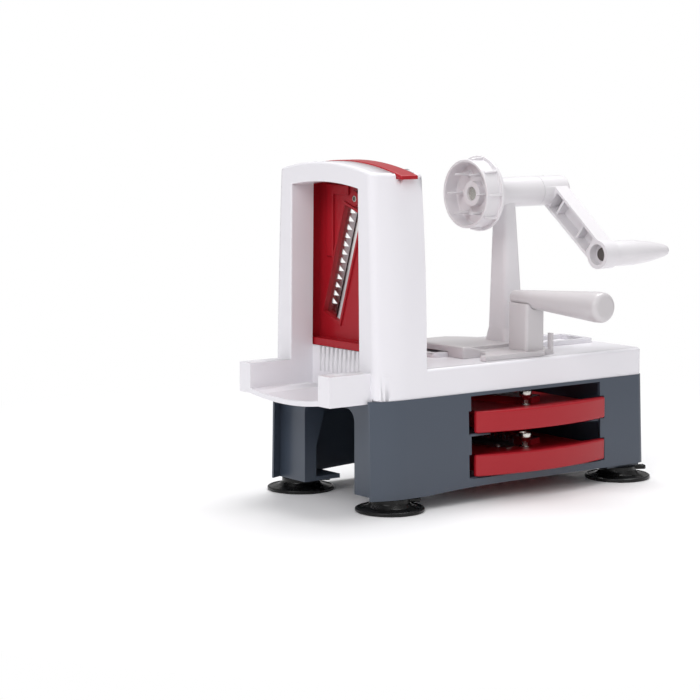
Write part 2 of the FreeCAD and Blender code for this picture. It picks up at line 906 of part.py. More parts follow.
def top_cover():
    """Make the white cover: deck, tower with window and insert slot, chute and guide rail."""
    body = new_body("cover shell")
    deck_dip = "deck_half - tower_front_foot_half"
    pad(body, "deck", "xy", ("seam", "deck_top"),
        plan("tower_front", "deck_half", "base_rear", "tower_run", deck_dip, "base_corner"))

    def deck_rim(edge):
        level = edge.ZMin > amount("deck_top") - TOLERANCE
        outside = abs(edge.Center.y) > amount("deck_half - base_corner")
        return level and (outside or edge.XMin > amount("base_rear") - TOLERANCE)

    soften(body, "deck front edges", "tower_front_round + deck_wall",
           lambda edge: edge.XMax < amount("-tower_front") + TOLERANCE
           and edge.ZLength > amount("deck_edge"))
    soften(body, "deck edge", "deck_edge", deck_rim)
    pocket(body, "deck hollow", "xy", ("seam - 1", "deck_top - deck_wall"),
           rounded("-tower_rear + deck_skin", "base_rear - deck_skin",
                   "-deck_half + deck_skin", "deck_half - deck_skin",
                   "(base_corner - deck_skin)"))
    join(body, "tower shape", tower_shape())

    over = f"{TOWER_TOP} + deck_edge"
    front = amount("-tower_front") + TOLERANCE

    # Window, and the chute under it: two upright sides and a dished floor.
    floor = "chute_low + chute_floor"
    dish = circular("chute_inner", "chute_sag")
    pocket(body, "window", "yz", ("-tower_front - 1", "-insert_front"), [
        ("-chute_inner", floor, dish),
        ("chute_inner", floor),
        ("window_half", WINDOW_CORNER, "arch_radius"),
        ("-window_half", WINDOW_CORNER),
    ])
    soften(body, "window edges", "window_edge",
           lambda edge: edge.XMax < front and edge.ZMin > amount(floor) - TOLERANCE
           and max(-edge.YMin, edge.YMax) < amount("chute_inner") + TOLERANCE)

    for side in NEAR_AND_FAR:
        low_y, high_y = sorted((f"{side} * chute_inner", f"{side} * chute_outer"), key=amount)
        pad(body, "chute side", "yz", ("-chute_end", "-tower_front + 1"),
            rectangle(low_y, high_y, "chute_low", "chute_top"))
    pad(body, "chute floor", "yz", ("-chute_end", "-insert_front + 1"), [
        ("-chute_inner", "chute_low", dish),
        ("chute_inner", "chute_low"),
        ("chute_inner", floor, f"-{dish}"),
        ("-chute_inner", floor),
    ])
    for side in NEAR_AND_FAR:
        low_y, high_y = sorted((f"{side} * (chute_inner + deck_skin)",
                                f"{side} * (tower_front_half - deck_skin)"), key=amount)
        pocket(body, "tower core", "xy", ("seam - 1", f"{WINDOW_CORNER} - deck_skin"),
               rectangle("-tower_front + deck_skin", "-insert_front - deck_skin", low_y, high_y))

    # Insert slot, open at the top, and the opening behind it for the food.
    slot_span = ("-insert_front - insert_gap", "-insert_front + insert_depth + insert_gap")
    pocket(body, "insert slot", "yz", slot_span,
           rectangle("-frame_half - insert_gap", "frame_half + insert_gap",
                     f"{SEAT} - insert_gap", f"{over} + 1"))
    pocket(body, "bar slot", "yz", slot_span,
           above_arch("bar_rise - bar_thick - insert_gap", "bar_under_radius", "(bar_half + 3)",
                      f"{over} + 1"))
    pocket(body, "food opening", "yz", ("-insert_front", "-tower_rear + 1"), [
        ("-rear_opening_half + rear_opening_corner", SEAT),
        ("rear_opening_half - rear_opening_corner", SEAT, "rear_opening_corner"),
        ("rear_opening_half", f"{SEAT} + rear_opening_corner"),
        ("rear_opening_half", f"{over} + 1"),
        ("-rear_opening_half", f"{over} + 1"),
        ("-rear_opening_half", f"{SEAT} + rear_opening_corner", "rear_opening_corner"),
    ])
    groove_count = 2 * int(amount("(window_half - rib_pitch) / rib_pitch")) + 1
    pocket(body, "sill grooves", "yz", ("-insert_front - 1", "-insert_front + rib_depth"),
           *[rectangle(f"{index} * rib_pitch - rib_groove / 2",
                       f"{index} * rib_pitch + rib_groove / 2", "rib_low", SEAT)
             for index in range(-(groove_count // 2), groove_count // 2 + 1)])

    # Guide rail with a slot for the carriage keel.
    slot_front = "keel_front - travel_forward - side_gap"
    slot_rear = "keel_rear + travel_rear + side_gap"
    pad(body, "guide lips", "xy", ("deck_top - 1", "deck_top + lip_rise"),
        rounded(f"{slot_front} - lip_cap", f"{slot_rear} + lip_cap",
                "-lip_outer", "lip_outer", "lip_cap"))
    pocket(body, "guide channel", "xy", ("deck_top", "deck_top + lip_rise + 1"),
           rectangle(slot_front, slot_rear, "-lip_inner", "lip_inner"))
    pocket(body, "keel slot", "xy", ("deck_top - deck_wall - 1", "deck_top + 1"),
           rectangle(slot_front, slot_rear, "-slot_half", "slot_half"))
    for line in ("lug_front", "lug_rear"):
        for side in NEAR_AND_FAR:
            boss(body, "screw boss", "xy", line, f"{side} * lug_spread", "boss_radius",
                 ("lug_top", "deck_top - deck_wall + 1"))
            bore(body, "screw pilot", "xy", line, f"{side} * lug_spread",
                 "screw_radius + screw_gap", ("lug_top - 1", "lug_top - lug + screw_length + screw_room"))
    return subpart(body, "top_cover")


# Carriage

PLATE_LOW = "(deck_top + slide_gap)"
PLATE_TOP = "(deck_top + slide_gap + plate)"
BAND_TOP = "(deck_top + slide_gap + band_rise)"
KEEL_LOW = "(deck_top - deck_wall - 2 * slide_gap)"
KEEPER_LOW = "(deck_top - deck_wall - 2 * slide_gap - keeper)"
BRACKET_TOP = "(handle_height - bracket_drop)"
PIN_LOW = "(handle_height - handle_pin_below)"
PIN_HIGH = "(handle_height + handle_pin_above)"


def handle_radius(line, gap):
    """Return the radius of the push handle at a distance from the middle plane, plus a gap."""
    share = f"(({line}) - handle_root) / (handle_end - handle_round - handle_root)"
    return f"handle_root_radius + (handle_end_radius - handle_root_radius) * {share} + {gap}"


def carriage_base():
    """Make the sliding plate with its nose, keel and handle bracket."""
    body = new_body("carriage plate")
    pad(body, "plate", "xy", (PLATE_LOW, PLATE_TOP), [
        ("-wing_front", "-plate_half"),
        ("plate_side_rear", "-plate_half", circular("plate_half", "plate_rear - plate_side_rear")),
        ("plate_side_rear", "plate_half"),
        ("-wing_front", "plate_half"),
        ("-wing_front", "wing_inner", "-notch_radius"),
        ("-notch_rear", "notch_inner"),
        ("-notch_rear", "-notch_inner", "-notch_radius"),
        ("-wing_front", "-wing_inner"),
    ])
    nose_top = f"{PLATE_LOW} + nose_rise"
    pad(body, "nose", "xz", ("-nose_half", "nose_half"), [
        ("-nose_front", PLATE_LOW),
        ("-nose_rear", PLATE_LOW),
        ("-nose_rear", PLATE_TOP),
        ("-nose_crest", nose_top),
        ("-nose_front", nose_top),
    ])
    soften(body, "nose edge", "nose_edge",
           lambda edge: edge.XMax < amount("-nose_rear") + TOLERANCE
           and edge.ZMax > amount(nose_top) - TOLERANCE)
    pad(body, "middle band", "xy", (PLATE_LOW, BAND_TOP),
        rectangle("-band_front", "band_rear", "-band_half", "band_half"))
    pad(body, "bracket", "xy", (f"{PLATE_TOP} - 1", BRACKET_TOP),
        rounded("bracket_front", "bracket_rear", "-bracket_near", "-bracket_far", "bracket_edge"))
    pad(body, "side tab foot", "xy", (PLATE_LOW, PLATE_TOP),
        rectangle("tab_root", "tab_rear", "-tab_near", "-tab_far"))
    pad(body, "side tab", "xy", (f"{PLATE_TOP} - 1", "tab_top"),
        rectangle("tab_front", "tab_rear", "-tab_near", "-tab_far"))
    channel_top = "deck_top + lip_rise + side_gap"
    channel_half = "lip_outer + side_gap"
    pocket(body, "rail channel", "yz", ("-plate_rear - 1", "plate_rear + 1"),
           rectangle(f"-({channel_half})", channel_half, "deck_top", channel_top))
    pad(body, "keel", "xy", (KEEL_LOW, f"{channel_top} + keel_root"),
        rectangle("keel_front", "keel_rear", "-slot_half + side_gap", "slot_half - side_gap"))
    pilot = "carriage_screw_radius + screw_gap"
    for line in ("keeper_screw_front", "keeper_screw_rear"):
        bore(body, "keeper pilot", "xy", line, 0, pilot,
             (f"{KEEL_LOW} - 1", f"{KEEPER_LOW} + keeper_screw_length + screw_room"))
    for line in ("post_screw_front", "post_screw_rear"):
        bore(body, "post screw hole", "xy", line, 0, pilot, (f"{KEEL_LOW} - 1", f"{BAND_TOP} + 1"))
    bore(body, "handle pin hole", "xy", "handle_line", "-handle_pin_line",
         "handle_pin_radius + turn_gap", (f"{PIN_LOW} - end_gap", f"{BRACKET_TOP} + 1"))
    cradle = taper("handle cradle", "y",
                   (handle_radius("bracket_near + 1", "handle_gap"),
                    handle_radius("bracket_far - 1", "handle_gap")),
                   ("-bracket_near - 1", "-bracket_far + 1"), x="handle_line", z="handle_height")
    return subpart(cut("carriage base", body, cradle), "carriage_base")


def crank_post():
    """Make the post with its flared foot and the bearing tube on top."""
    body = new_body("post")
    loft(body, "flared foot", [
        ("xy", BAND_TOP, rounded("post_foot_front", "post_foot_rear",
                                 "-post_foot_half", "post_foot_half", "post_round")),
        ("xy", "post_waist", rounded("post_waist_front", "post_waist_rear",
                                     "-post_waist_half", "post_waist_half", "post_round")),
    ])
    loft(body, "upright", [
        ("xy", "post_waist - post_root", rounded("post_waist_front", "post_waist_rear",
                                           "-post_waist_half", "post_waist_half", "post_round")),
        ("xy", "axis_height - bearing_radius / 2",
         rounded("post_top_front", "post_top_rear",
                 "-post_top_half", "post_top_half", "post_round")),
    ])
    boss(body, "bearing", "yz", 0, "axis_height", "bearing_radius",
         ("bearing_front", "bearing_rear"))
    bore(body, "bearing bore", "yz", 0, "axis_height", "bushing_radius + turn_gap",
         ("bearing_front - 1", "bearing_rear + 1"))
    for line in ("post_screw_front", "post_screw_rear"):
        bore(body, "post pilot", "xy", line, 0, "carriage_screw_radius + screw_gap",
             (f"{BAND_TOP} - 1", f"{KEEPER_LOW} + post_screw_length + screw_room"))
    return subpart(body, "crank_post")


def shaft_bushings():
    """Make the two plain bearings pressed into the ends of the tube."""
    rings = []
    for span in (("bearing_front", "bearing_front + bushing_length"),
                 ("bearing_rear - bushing_length", "bearing_rear")):
        outer = rod("ring", "x", "bushing_radius", span, z="axis_height")
        inner = rod("ring bore", "x", "shaft_radius + turn_gap",
                    (f"{span[0]} - 1", f"{span[1]} + 1"), z="axis_height")
        rings.append(cut("bushing", outer, inner))
    return subpart(group("bushings", *rings), "shaft_bushings")


def slide_keeper():
    """Make the plate under the deck that keeps the carriage on its rail."""
    blank = box("keeper blank", ("keel_front - keeper_overrun + side_gap", "keel_rear + keeper_overrun"),
                ("-keeper_half", "keeper_half"), (KEEPER_LOW, KEEL_LOW))
    holes = [rod("keeper hole", "z", "carriage_screw_radius + screw_gap",
                 (f"{KEEPER_LOW} - 1", f"{KEEL_LOW} + 1"), x=line)
             for line in ("keeper_screw_front", "post_screw_front",
                          "post_screw_rear", "keeper_screw_rear")]
    return subpart(cut("keeper", blank, *holes), "slide_keeper")


def carriage_screws(label, lines, length):
    """Make the screws of one length that enter the keel from below."""
    screws = []
    for line in lines:
        head = rod("head", "z", "carriage_screw_head_radius",
                   (f"{KEEPER_LOW} - carriage_screw_head", KEEPER_LOW), x=line)
        shank = rod("shank", "z", "carriage_screw_radius",
                    (KEEPER_LOW, f"{KEEPER_LOW} + {length}"), x=line)
        screws.append(fuse("carriage screw", head, shank))
    return subpart(group("screws", *screws), label)


def push_handle():
    """Make the tapered handle that pushes the carriage, in a frame on its own axis."""
    body = new_body("handle")
    revolve(body, "grip", "xy", [
        (0, "-handle_end"),
        ("handle_end_radius - handle_round", "-handle_end", "handle_round"),
        ("handle_end_radius", "-handle_end + handle_round"),
        ("handle_root_radius", "-handle_root - handle_root_edge"),
        ("handle_root_radius - handle_root_edge", "-handle_root"),
        (0, "-handle_root"),
    ], "V_Axis")
    bore(body, "pin hole", "xy", 0, "-handle_pin_line", "handle_pin_radius + turn_gap",
         ("-handle_end_radius", "handle_pin_above + end_gap"))
    place(body, "handle_line", 0, "handle_height")
    return subpart(body, "push_handle")


def handle_pin():
    """Make the steel pin that joins the handle to its bracket."""
    pin = rod("pin", "z", "handle_pin_radius", (PIN_LOW, PIN_HIGH),
              x="handle_line", y="-handle_pin_line")
    return subpart(pin, "handle_pin")


# Crank

CROWN_REAR = "(bearing_front - end_gap)"


def crank_shaft():
    """Make the steel shaft between the food holder and the crank arm."""
    shaft = rod("shaft", "x", "shaft_radius", ("shaft_front", "shaft_rear"), z="axis_height")
    holes = [rod("pin hole", "z", "shaft_pin_radius + turn_gap",
                 ("axis_height - hub_radius", "axis_height + hub_radius"), x=line)
             for line in ("crown_pin_line", "arm_pin_line")]
    return subpart(cut("drilled shaft", shaft, *holes), "crank_shaft")


def food_holder():
    """Make the cup with outer ribs and inner prongs that turns the food."""
    body = new_body("crown")
    centre = (0, "axis_height")
    disc_front = f"{CROWN_REAR} - crown_disc"
    boss(body, "cup", "yz", *centre, "crown_cup_radius", ("crown_front", CROWN_REAR))
    boss(body, "flange", "yz", *centre, "crown_radius",
         (f"{CROWN_REAR} - crown_flange", CROWN_REAR))
    bore(body, "cup space", "yz", *centre, "crown_cup_radius - crown_wall",
         ("crown_front - 1", disc_front))
    boss(body, "hub", "yz", *centre, "crown_hub_radius", ("crown_hub", CROWN_REAR))
    bore(body, "shaft socket", "yz", *centre, "shaft_radius + turn_gap",
         ("shaft_front - end_gap", f"{CROWN_REAR} + 1"))
    loops = []
    for index in range(RIB_COUNT):
        turn = f"({180 + 360 / RIB_COUNT * index}) * 1 deg"
        inner = "(crown_cup_radius - crown_wall / 2)"
        corners = []
        for radius, across in ((inner, "-rib / 2"), ("(crown_radius - rib_drop)", "-rib / 2"),
                               ("(crown_radius - rib_drop)", "rib / 2"), (inner, "rib / 2")):
            corners.append((f"{radius} * cos({turn}) - ({across}) * sin({turn})",
                            f"axis_height + {radius} * sin({turn}) + ({across}) * cos({turn})"))
        loops.append(corners)
    pad(body, "outer ribs", "yz", ("rib_front", f"{CROWN_REAR} - crown_flange / 2"), *loops)
    bore(body, "pin hole", "xy", "crown_pin_line", 0, "shaft_pin_radius + turn_gap",
         ("axis_height - crown_hub_radius - 1", "axis_height + crown_hub_radius + 1"))
    prongs = [body]
    for index in range(PRONG_COUNT):
        turn = f"({360 / PRONG_COUNT * index}) * 1 deg"
        prongs.append(taper("prong", "x", ("prong_tip", "prong_radius"),
                            ("prong_front", f"{disc_front} + prong_root"),
                            y=f"prong_circle * cos({turn})",
                            z=f"axis_height + prong_circle * sin({turn})"))
    return subpart(fuse("pronged crown", *prongs), "food_holder")


def arm_corner(forward, across):
    """Return a sketch point at a distance along the arm and below its middle line."""
    turn = "arm_turn * 1 deg"
    return (f"({across}) * sin({turn}) - ({forward}) * cos({turn})",
            f"axis_height - ({forward}) * sin({turn}) - ({across}) * cos({turn})")


def crank_arm():
    """Make the channel-shaped arm with its hub and the boss for the knob."""
    body = new_body("arm")
    tip = arm_corner("arm_length", 0)
    boss(body, "hub", "yz", 0, "axis_height", "hub_radius", ("bearing_rear + end_gap", "hub_rear"))
    soften(body, "hub end", "hub_edge", lambda edge: edge.XMin > amount("hub_rear") - TOLERANCE)
    pad(body, "arm", "yz", ("arm_front", "arm_rear"), [
        arm_corner(0, "-arm_root_half"),
        arm_corner("arm_length", "-arm_tip_half"),
        arm_corner("arm_length", "arm_tip_half"),
        arm_corner(0, "arm_root_half"),
    ])
    boss(body, "knob boss", "yz", *tip, "arm_boss_radius", ("arm_front", "arm_rear"))
    hollow_end = "arm_length - arm_boss_radius"
    pocket(body, "arm channel", "yz", ("arm_front - 1", "arm_rear - arm_web"), [
        arm_corner("hub_radius", "-arm_root_half + arm_wall"),
        arm_corner(hollow_end, "-arm_tip_half + arm_wall"),
        arm_corner(hollow_end, "arm_tip_half - arm_wall"),
        arm_corner("hub_radius", "arm_root_half - arm_wall"),
    ])
    for line in ("arm_rib_first", "arm_rib_second"):
        half = "(arm_tip_half - arm_wall / 2)"
        pad(body, "cross rib", "yz", ("arm_front + arm_rib_drop", "arm_rear - arm_web / 2"), [
            arm_corner(line, f"-{half}"),
            arm_corner(f"{line} + arm_rib", f"-{half}"),
            arm_corner(f"{line} + arm_rib", half),
            arm_corner(line, half),
        ])
    bore(body, "boss recess", "yz", *tip, "arm_boss_recess",
         ("arm_front - 1", "arm_front + arm_boss_depth"))
    bore(body, "knob pin hole", "yz", *tip, "knob_pin_radius + turn_gap",
         ("arm_front", "arm_rear + 1"))
    bore(body, "shaft socket", "yz", 0, "axis_height", "shaft_radius + turn_gap",
         ("bearing_rear - 1", "shaft_rear + end_gap"))
    bore(body, "arm pin hole", "xy", "arm_pin_line", 0, "shaft_pin_radius + turn_gap",
         ("axis_height - hub_radius - 1", "axis_height + hub_radius + 1"))
    return subpart(body, "crank_arm")


def shaft_pins():
    """Make the cross pins that lock the food holder and the arm to the shaft."""
    pins = [rod("cross pin", "z", "shaft_pin_radius",
                (f"axis_height - {half}", f"axis_height + {half}"), x=line)
            for line, half in (("crown_pin_line", "crown_pin_half"),
                               ("arm_pin_line", "arm_pin_half"))]
    return subpart(group("pins", *pins), "shaft_pins")


def knob_pin():
    """Make the steel pin on which the knob turns."""
    tip_y, tip_z = arm_corner("arm_length", 0)
    seat = "arm_front + arm_boss_depth"
    head = rod("pin head", "x", "knob_pin_head_radius", (f"{seat} - knob_pin_head", seat),
               y=tip_y, z=tip_z)
    shank = rod("pin shank", "x", "knob_pin_radius", (seat, "arm_rear + knob_pin_reach"),
                y=tip_y, z=tip_z)
    return subpart(fuse("knob pin", head, shank), "knob_pin")


def crank_knob():
    """Make the tapered knob, in a frame on its own axis."""
    body = new_body("knob")
    root = "arm_rear + end_gap"
    bore_radius = "knob_pin_radius + turn_gap"
    bore_end = "arm_rear + knob_pin_reach + end_gap"
    revolve(body, "grip", "xz", [
        (root, bore_radius),
        (bore_end, bore_radius),
        (bore_end, 0),
        ("knob_end", 0, circular("knob_nose_radius", "knob_end - knob_nose")),
        ("knob_nose", "knob_nose_radius", "knob_taper_bulge"),
        ("knob_shoulder", "knob_radius"),
        (f"{root} + knob_edge", "knob_radius"),
        (root, "knob_radius - knob_edge"),
    ], "H_Axis")
    tip_y, tip_z = arm_corner("arm_length", 0)
    place(body, 0, tip_y, tip_z)
    return subpart(body, "crank_knob")


# Blade inserts

PANEL_BACK = "(panel_front + panel)"
BLADE_SEAT = "(panel_front + panel + blade_lift)"


def strip_corner(forward, across):
    """Return a point along the slanted strip and to the side of its middle line."""
    turn = "strip_turn * 1 deg"
    return (f"strip_across + ({forward}) * sin({turn}) + ({across}) * cos({turn})",
            f"strip_up - ({forward}) * cos({turn}) + ({across}) * sin({turn})")


def strip_area(start, end, low, high):
    """Return the corners of a region along the slanted strip, counter-clockwise."""
    return [strip_corner(end, low), strip_corner(end, high),
            strip_corner(start, high), strip_corner(start, low)]


def set_insert(item, site):
    """Put one piece of an insert in the tower or in a storage slot."""
    if site == "front":
        item.Placement = FreeCAD.Placement(
            FreeCAD.Vector(), FreeCAD.Rotation(FreeCAD.Vector(1, 1, 1), 120))
        place(item, "-insert_front", 0, "axis_height")
    else:
        item.Placement = FreeCAD.Placement(FreeCAD.Vector(), FreeCAD.Rotation(AXES["z"], 180))
        place(item, "store_centre", "-store_axis", spare_height(site))
    return item


def blade_screw_spots(with_comb):
    """Return the strip positions and the seats of the screws of one insert."""
    blade_line = "-strip_half - blade_screw_inset"
    spots = [("blade_screw_line", blade_line, f"{BLADE_SEAT} + blade"),
             ("strip_length - blade_screw_line", blade_line, f"{BLADE_SEAT} + blade")]
    if with_comb:
        comb_line = "slot_far + comb_land / 2"
        spots += [("blade_screw_line", comb_line, f"{PANEL_BACK} + blade"),
                  ("strip_length - blade_screw_line", comb_line, f"{PANEL_BACK} + blade")]
    return spots


def insert_frame(site, with_comb):
    """Make the red frame with its arched grip bar, panel and slanted slot."""
    body = new_body(f"insert {site} frame")
    crown_height = arch_height("bar_rise", "arch_radius", "bar_half")
    tip_height = arch_height("bar_rise - bar_thick", "bar_under_radius", "bar_half")
    root_height = arch_height("bar_rise - bar_thick + frame_root", "bar_under_radius", "frame_half")
    recess_radius = "(arch_radius - bar_thick - stile)"
    inner_half = "(frame_half - stile)"
    recess_height = arch_height("bar_rise - bar_thick - stile", recess_radius, inner_half)
    pad(body, "grip bar", "xy", (0, "insert_depth"), [
        ("-bar_half", tip_height, "-bar_under_radius"),
        ("bar_half", tip_height),
        ("bar_half", crown_height, "arch_radius"),
        ("-bar_half", crown_height),
    ])
    soften(body, "bar edge", "bar_edge",
           lambda edge: edge.YMin > amount(crown_height) - TOLERANCE
           or (edge.YLength > TOLERANCE and edge.XLength < TOLERANCE))
    pad(body, "frame", "xy", ("frame_front", PANEL_BACK), [
        ("-frame_half", "-frame_low"),
        ("frame_half", "-frame_low"),
        ("frame_half", root_height, "bar_under_radius"),
        ("-frame_half", root_height),
    ])
    pocket(body, "window side recess", "xy", ("frame_front - 1", "panel_front"), [
        (f"-{inner_half}", "-frame_low + stile"),
        (inner_half, "-frame_low + stile"),
        (inner_half, recess_height, recess_radius),
        (f"-{inner_half}", recess_height),
    ])
    blade_low = "-strip_half - blade_width + blade_lap"
    slot_high = "slot_far" if with_comb else "strip_half"
    pad(body, "blade step", "xy", ("panel_front", BLADE_SEAT),
        strip_area("-blade_overrun", "strip_length + blade_overrun", blade_low, "-strip_half"))
    pad(body, "slot rim", "xy", ("panel_front - strip_rim_rise", "panel_front + 1"),
        strip_area("slot_start - strip_rim", "strip_length + strip_rim",
                   "-strip_half - strip_rim", f"{slot_high} + strip_rim"))
    pocket(body, "slot", "xy", ("frame_front", f"{BLADE_SEAT} + 1"),
           strip_area("slot_start", "strip_length", "-strip_half", slot_high))
    boss(body, "corer boss", "xy", 0, 0, "corer_radius + corer_boss",
         ("panel_front - corer_boss", "panel_front + 1"))
    bore(body, "corer hole", "xy", 0, 0, "corer_radius + corer_gap",
         ("panel_front - corer_boss - 1", f"{PANEL_BACK} + 1"))
    for forward, across, seat in blade_screw_spots(with_comb):
        spot = strip_corner(forward, across)
        bore(body, "screw pilot", "xy", *spot, "blade_screw_radius + screw_gap",
             (f"{seat} - blade_screw_length - blade_screw_room", f"{seat} + 1"))
    return subpart(set_insert(body, site), f"insert_{site}_frame")


def slicing_blade(site):
    """Make the straight blade that lies on its step and reaches over the slot."""
    body = new_body(f"insert {site} blade")
    low = "-strip_half - blade_width + blade_lap"
    high = "-strip_half + blade_lap"
    pad(body, "blade", "xy", (BLADE_SEAT, f"{BLADE_SEAT} + blade"),
        strip_area("-blade_overrun", "strip_length + blade_overrun", low, high))
    for forward, across, seat in blade_screw_spots(False):
        bore(body, "screw hole", "xy", *strip_corner(forward, across),
             "blade_screw_radius + screw_gap", (f"{BLADE_SEAT} - 1", f"{seat} + 1"))
    return subpart(set_insert(body, site), f"insert_{site}_blade")


def comb_blade(site, teeth):
    """Make the comb: a plate over the slot with a row of windows, and a toothed wall beside them."""
    foot = new_body(f"insert {site} comb foot")
    count = int(amount(teeth))
    pitch = f"(comb_end - comb_start) / {teeth}"
    pad(foot, "plate", "xy", (PANEL_BACK, f"{PANEL_BACK} + blade"),
        strip_area("slot_start - comb_seat", "strip_length + comb_seat",
                   "comb_near", "slot_far + comb_land"))
    windows = []
    for index in range(count):
        middle = f"comb_start + {index + 0.5} * {pitch}"
        half = f"comb_hole_share * {pitch} / 2"
        windows.append([strip_corner(f"{middle} + {half}", "comb_hole_far"),
                        strip_corner(f"{middle} - {half}", "comb_hole_far"),
                        strip_corner(middle, "comb_hole_near")])
    pocket(foot, "windows", "xy", (f"{PANEL_BACK} - 1", f"{PANEL_BACK} + blade + 1"), *windows)
    for forward, across, seat in blade_screw_spots(True)[2:]:
        bore(foot, "screw hole", "xy", *strip_corner(forward, across),
             "blade_screw_radius + screw_gap", (f"{PANEL_BACK} - 1", f"{seat} + 1"))

    # The toothed wall is drawn in a frame that lies along the strip.
    wall = new_body(f"insert {site} comb teeth")
    valley = f"{PANEL_BACK} + comb_flange"
    corners = [("comb_start", PANEL_BACK), ("comb_end", PANEL_BACK), ("comb_end", valley)]
    for index in range(count, 0, -1):
        if index < count:
            corners.append((f"comb_start + {index} * {pitch}", valley))
        corners.append((f"comb_start + {index - 0.5} * {pitch}", f"{valley} + comb_tooth"))
    corners.append(("comb_start", valley))
    pad(wall, "teeth", "xz", ("comb_near", "comb_near + blade"), corners)
    across, up = strip_corner(0, 0)
    wall.Placement = FreeCAD.Placement(
        FreeCAD.Vector(), FreeCAD.Rotation(AXES["z"], amount("strip_turn - 90")))
    bind(wall, Placement__Rotation__Angle="strip_turn - 90")
    place(wall, across, up, 0)
    comb = fuse(f"insert {site} comb", foot, wall)
    return subpart(set_insert(comb, site), f"insert_{site}_comb")


def corer_tube(site):
    """Make the steel tube that takes out the core of the food."""
    body = new_body(f"insert {site} corer")
    revolve(body, "tube", "xz", [
        ("corer_bore", "panel_front - corer_boss"),
        ("corer_radius", "panel_front - corer_boss"),
        ("corer_radius", PANEL_BACK),
        ("corer_flange_radius", PANEL_BACK),
        ("corer_flange_radius", f"{PANEL_BACK} + corer_flange"),
        ("corer_radius", f"{PANEL_BACK} + corer_flange"),
        ("corer_radius", "corer_neck"),
        ("corer_flare_radius", "corer_cup"),
        ("corer_flare_radius", "corer_reach"),
        ("corer_flare_radius - corer_lip", "corer_reach"),
        ("corer_bore", "corer_neck + corer_lip"),
    ], "V_Axis")
    return subpart(set_insert(body, site), f"insert_{site}_corer")


def blade_screws(site, with_comb):
    """Make the small screws that hold the blades of one insert."""
    screws = []
    for forward, across, seat in blade_screw_spots(with_comb):
        x, y = strip_corner(forward, across)
        head = rod("head", "z", "blade_screw_head_radius", (seat, f"{seat} + blade_screw_head"),
                   x=x, y=y)
        shank = rod("shank", "z", "blade_screw_radius", (f"{seat} - blade_screw_length", seat),
                    x=x, y=y)
        screws.append(fuse("blade screw", head, shank))
    return subpart(set_insert(group("screws", *screws), site), f"insert_{site}_screws")


def insert_set(site, teeth):
    """Make every piece of one insert; teeth is None where it only slices."""
    with_comb = teeth is not None
    insert_frame(site, with_comb)
    slicing_blade(site)
    if with_comb:
        comb_blade(site, teeth)
    corer_tube(site)
    blade_screws(site, with_comb)


base_housing()
top_cover()
housing_screws()
for x_name, x_side in (("front", -1), ("rear", 1)):
    for y_name, y_side in (("near", -1), ("far", 1)):
        suction_foot(f"foot_{x_name}_{y_name}", x_side, y_side)
carriage_base()
crank_post()
shaft_bushings()
slide_keeper()
carriage_screws("keeper_screws", ("keeper_screw_front", "keeper_screw_rear"), "keeper_screw_length")
carriage_screws("post_screws", ("post_screw_front", "post_screw_rear"), "post_screw_length")
push_handle()
handle_pin()
crank_shaft()
food_holder()
crank_arm()
shaft_pins()
knob_pin()
crank_knob()
insert_set("front", "coarse_teeth")
insert_set("upper", None)
insert_set("lower", "fine_teeth")
document.recompute()

for item in document.Objects:
    if "Invalid" in item.State or "Error" in item.State:
        raise RuntimeError(f"{item.Label} ({item.Name}) did not build: {item.State}")
os.makedirs("parts", exist_ok=True)
for item in subparts:
    if item.Shape.isNull() or not item.Shape.isValid():
        raise RuntimeError(f"{item.Label} has no valid shape")
    item.Shape.exportStep(f"parts/{item.Label}.step")
    print(f"{item.Label}: {len(item.Shape.Solids)} solids, {item.Shape.Volume:.1f} mm3")
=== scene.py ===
"""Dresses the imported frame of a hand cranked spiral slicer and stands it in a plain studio.

Sizes are given in millimetres and meshes are built in metres. X runs from the noodle chute to
the crank, Y from the near side, with the mouths for the spare inserts, to the far side, Z is up.
"""

import logging
import math
from dataclasses import dataclass
from enum import Enum
from typing import Mapping, Sequence, Union

import bmesh
import bpy
from mathutils import Matrix, Vector


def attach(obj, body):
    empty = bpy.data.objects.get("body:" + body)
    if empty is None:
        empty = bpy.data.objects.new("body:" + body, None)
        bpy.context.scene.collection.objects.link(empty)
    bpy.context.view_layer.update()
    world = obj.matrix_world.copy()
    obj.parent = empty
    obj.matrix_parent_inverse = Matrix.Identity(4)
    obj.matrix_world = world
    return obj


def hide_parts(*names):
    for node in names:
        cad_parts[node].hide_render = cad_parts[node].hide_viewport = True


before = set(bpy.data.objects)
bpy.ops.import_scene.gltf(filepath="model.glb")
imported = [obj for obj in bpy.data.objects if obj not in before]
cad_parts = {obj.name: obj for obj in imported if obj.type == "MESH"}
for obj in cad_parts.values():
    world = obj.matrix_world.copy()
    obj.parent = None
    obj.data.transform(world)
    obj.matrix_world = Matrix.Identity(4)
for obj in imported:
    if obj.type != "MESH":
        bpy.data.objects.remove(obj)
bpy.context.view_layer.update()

LOG = logging.getLogger("slicer")
MM = 0.001
Colour = tuple[float, float, float]
Point = tuple[float, float, float]
Value = Union["Wire", float, int, Sequence[float]]
Corner = Sequence[float]


# Node graphs

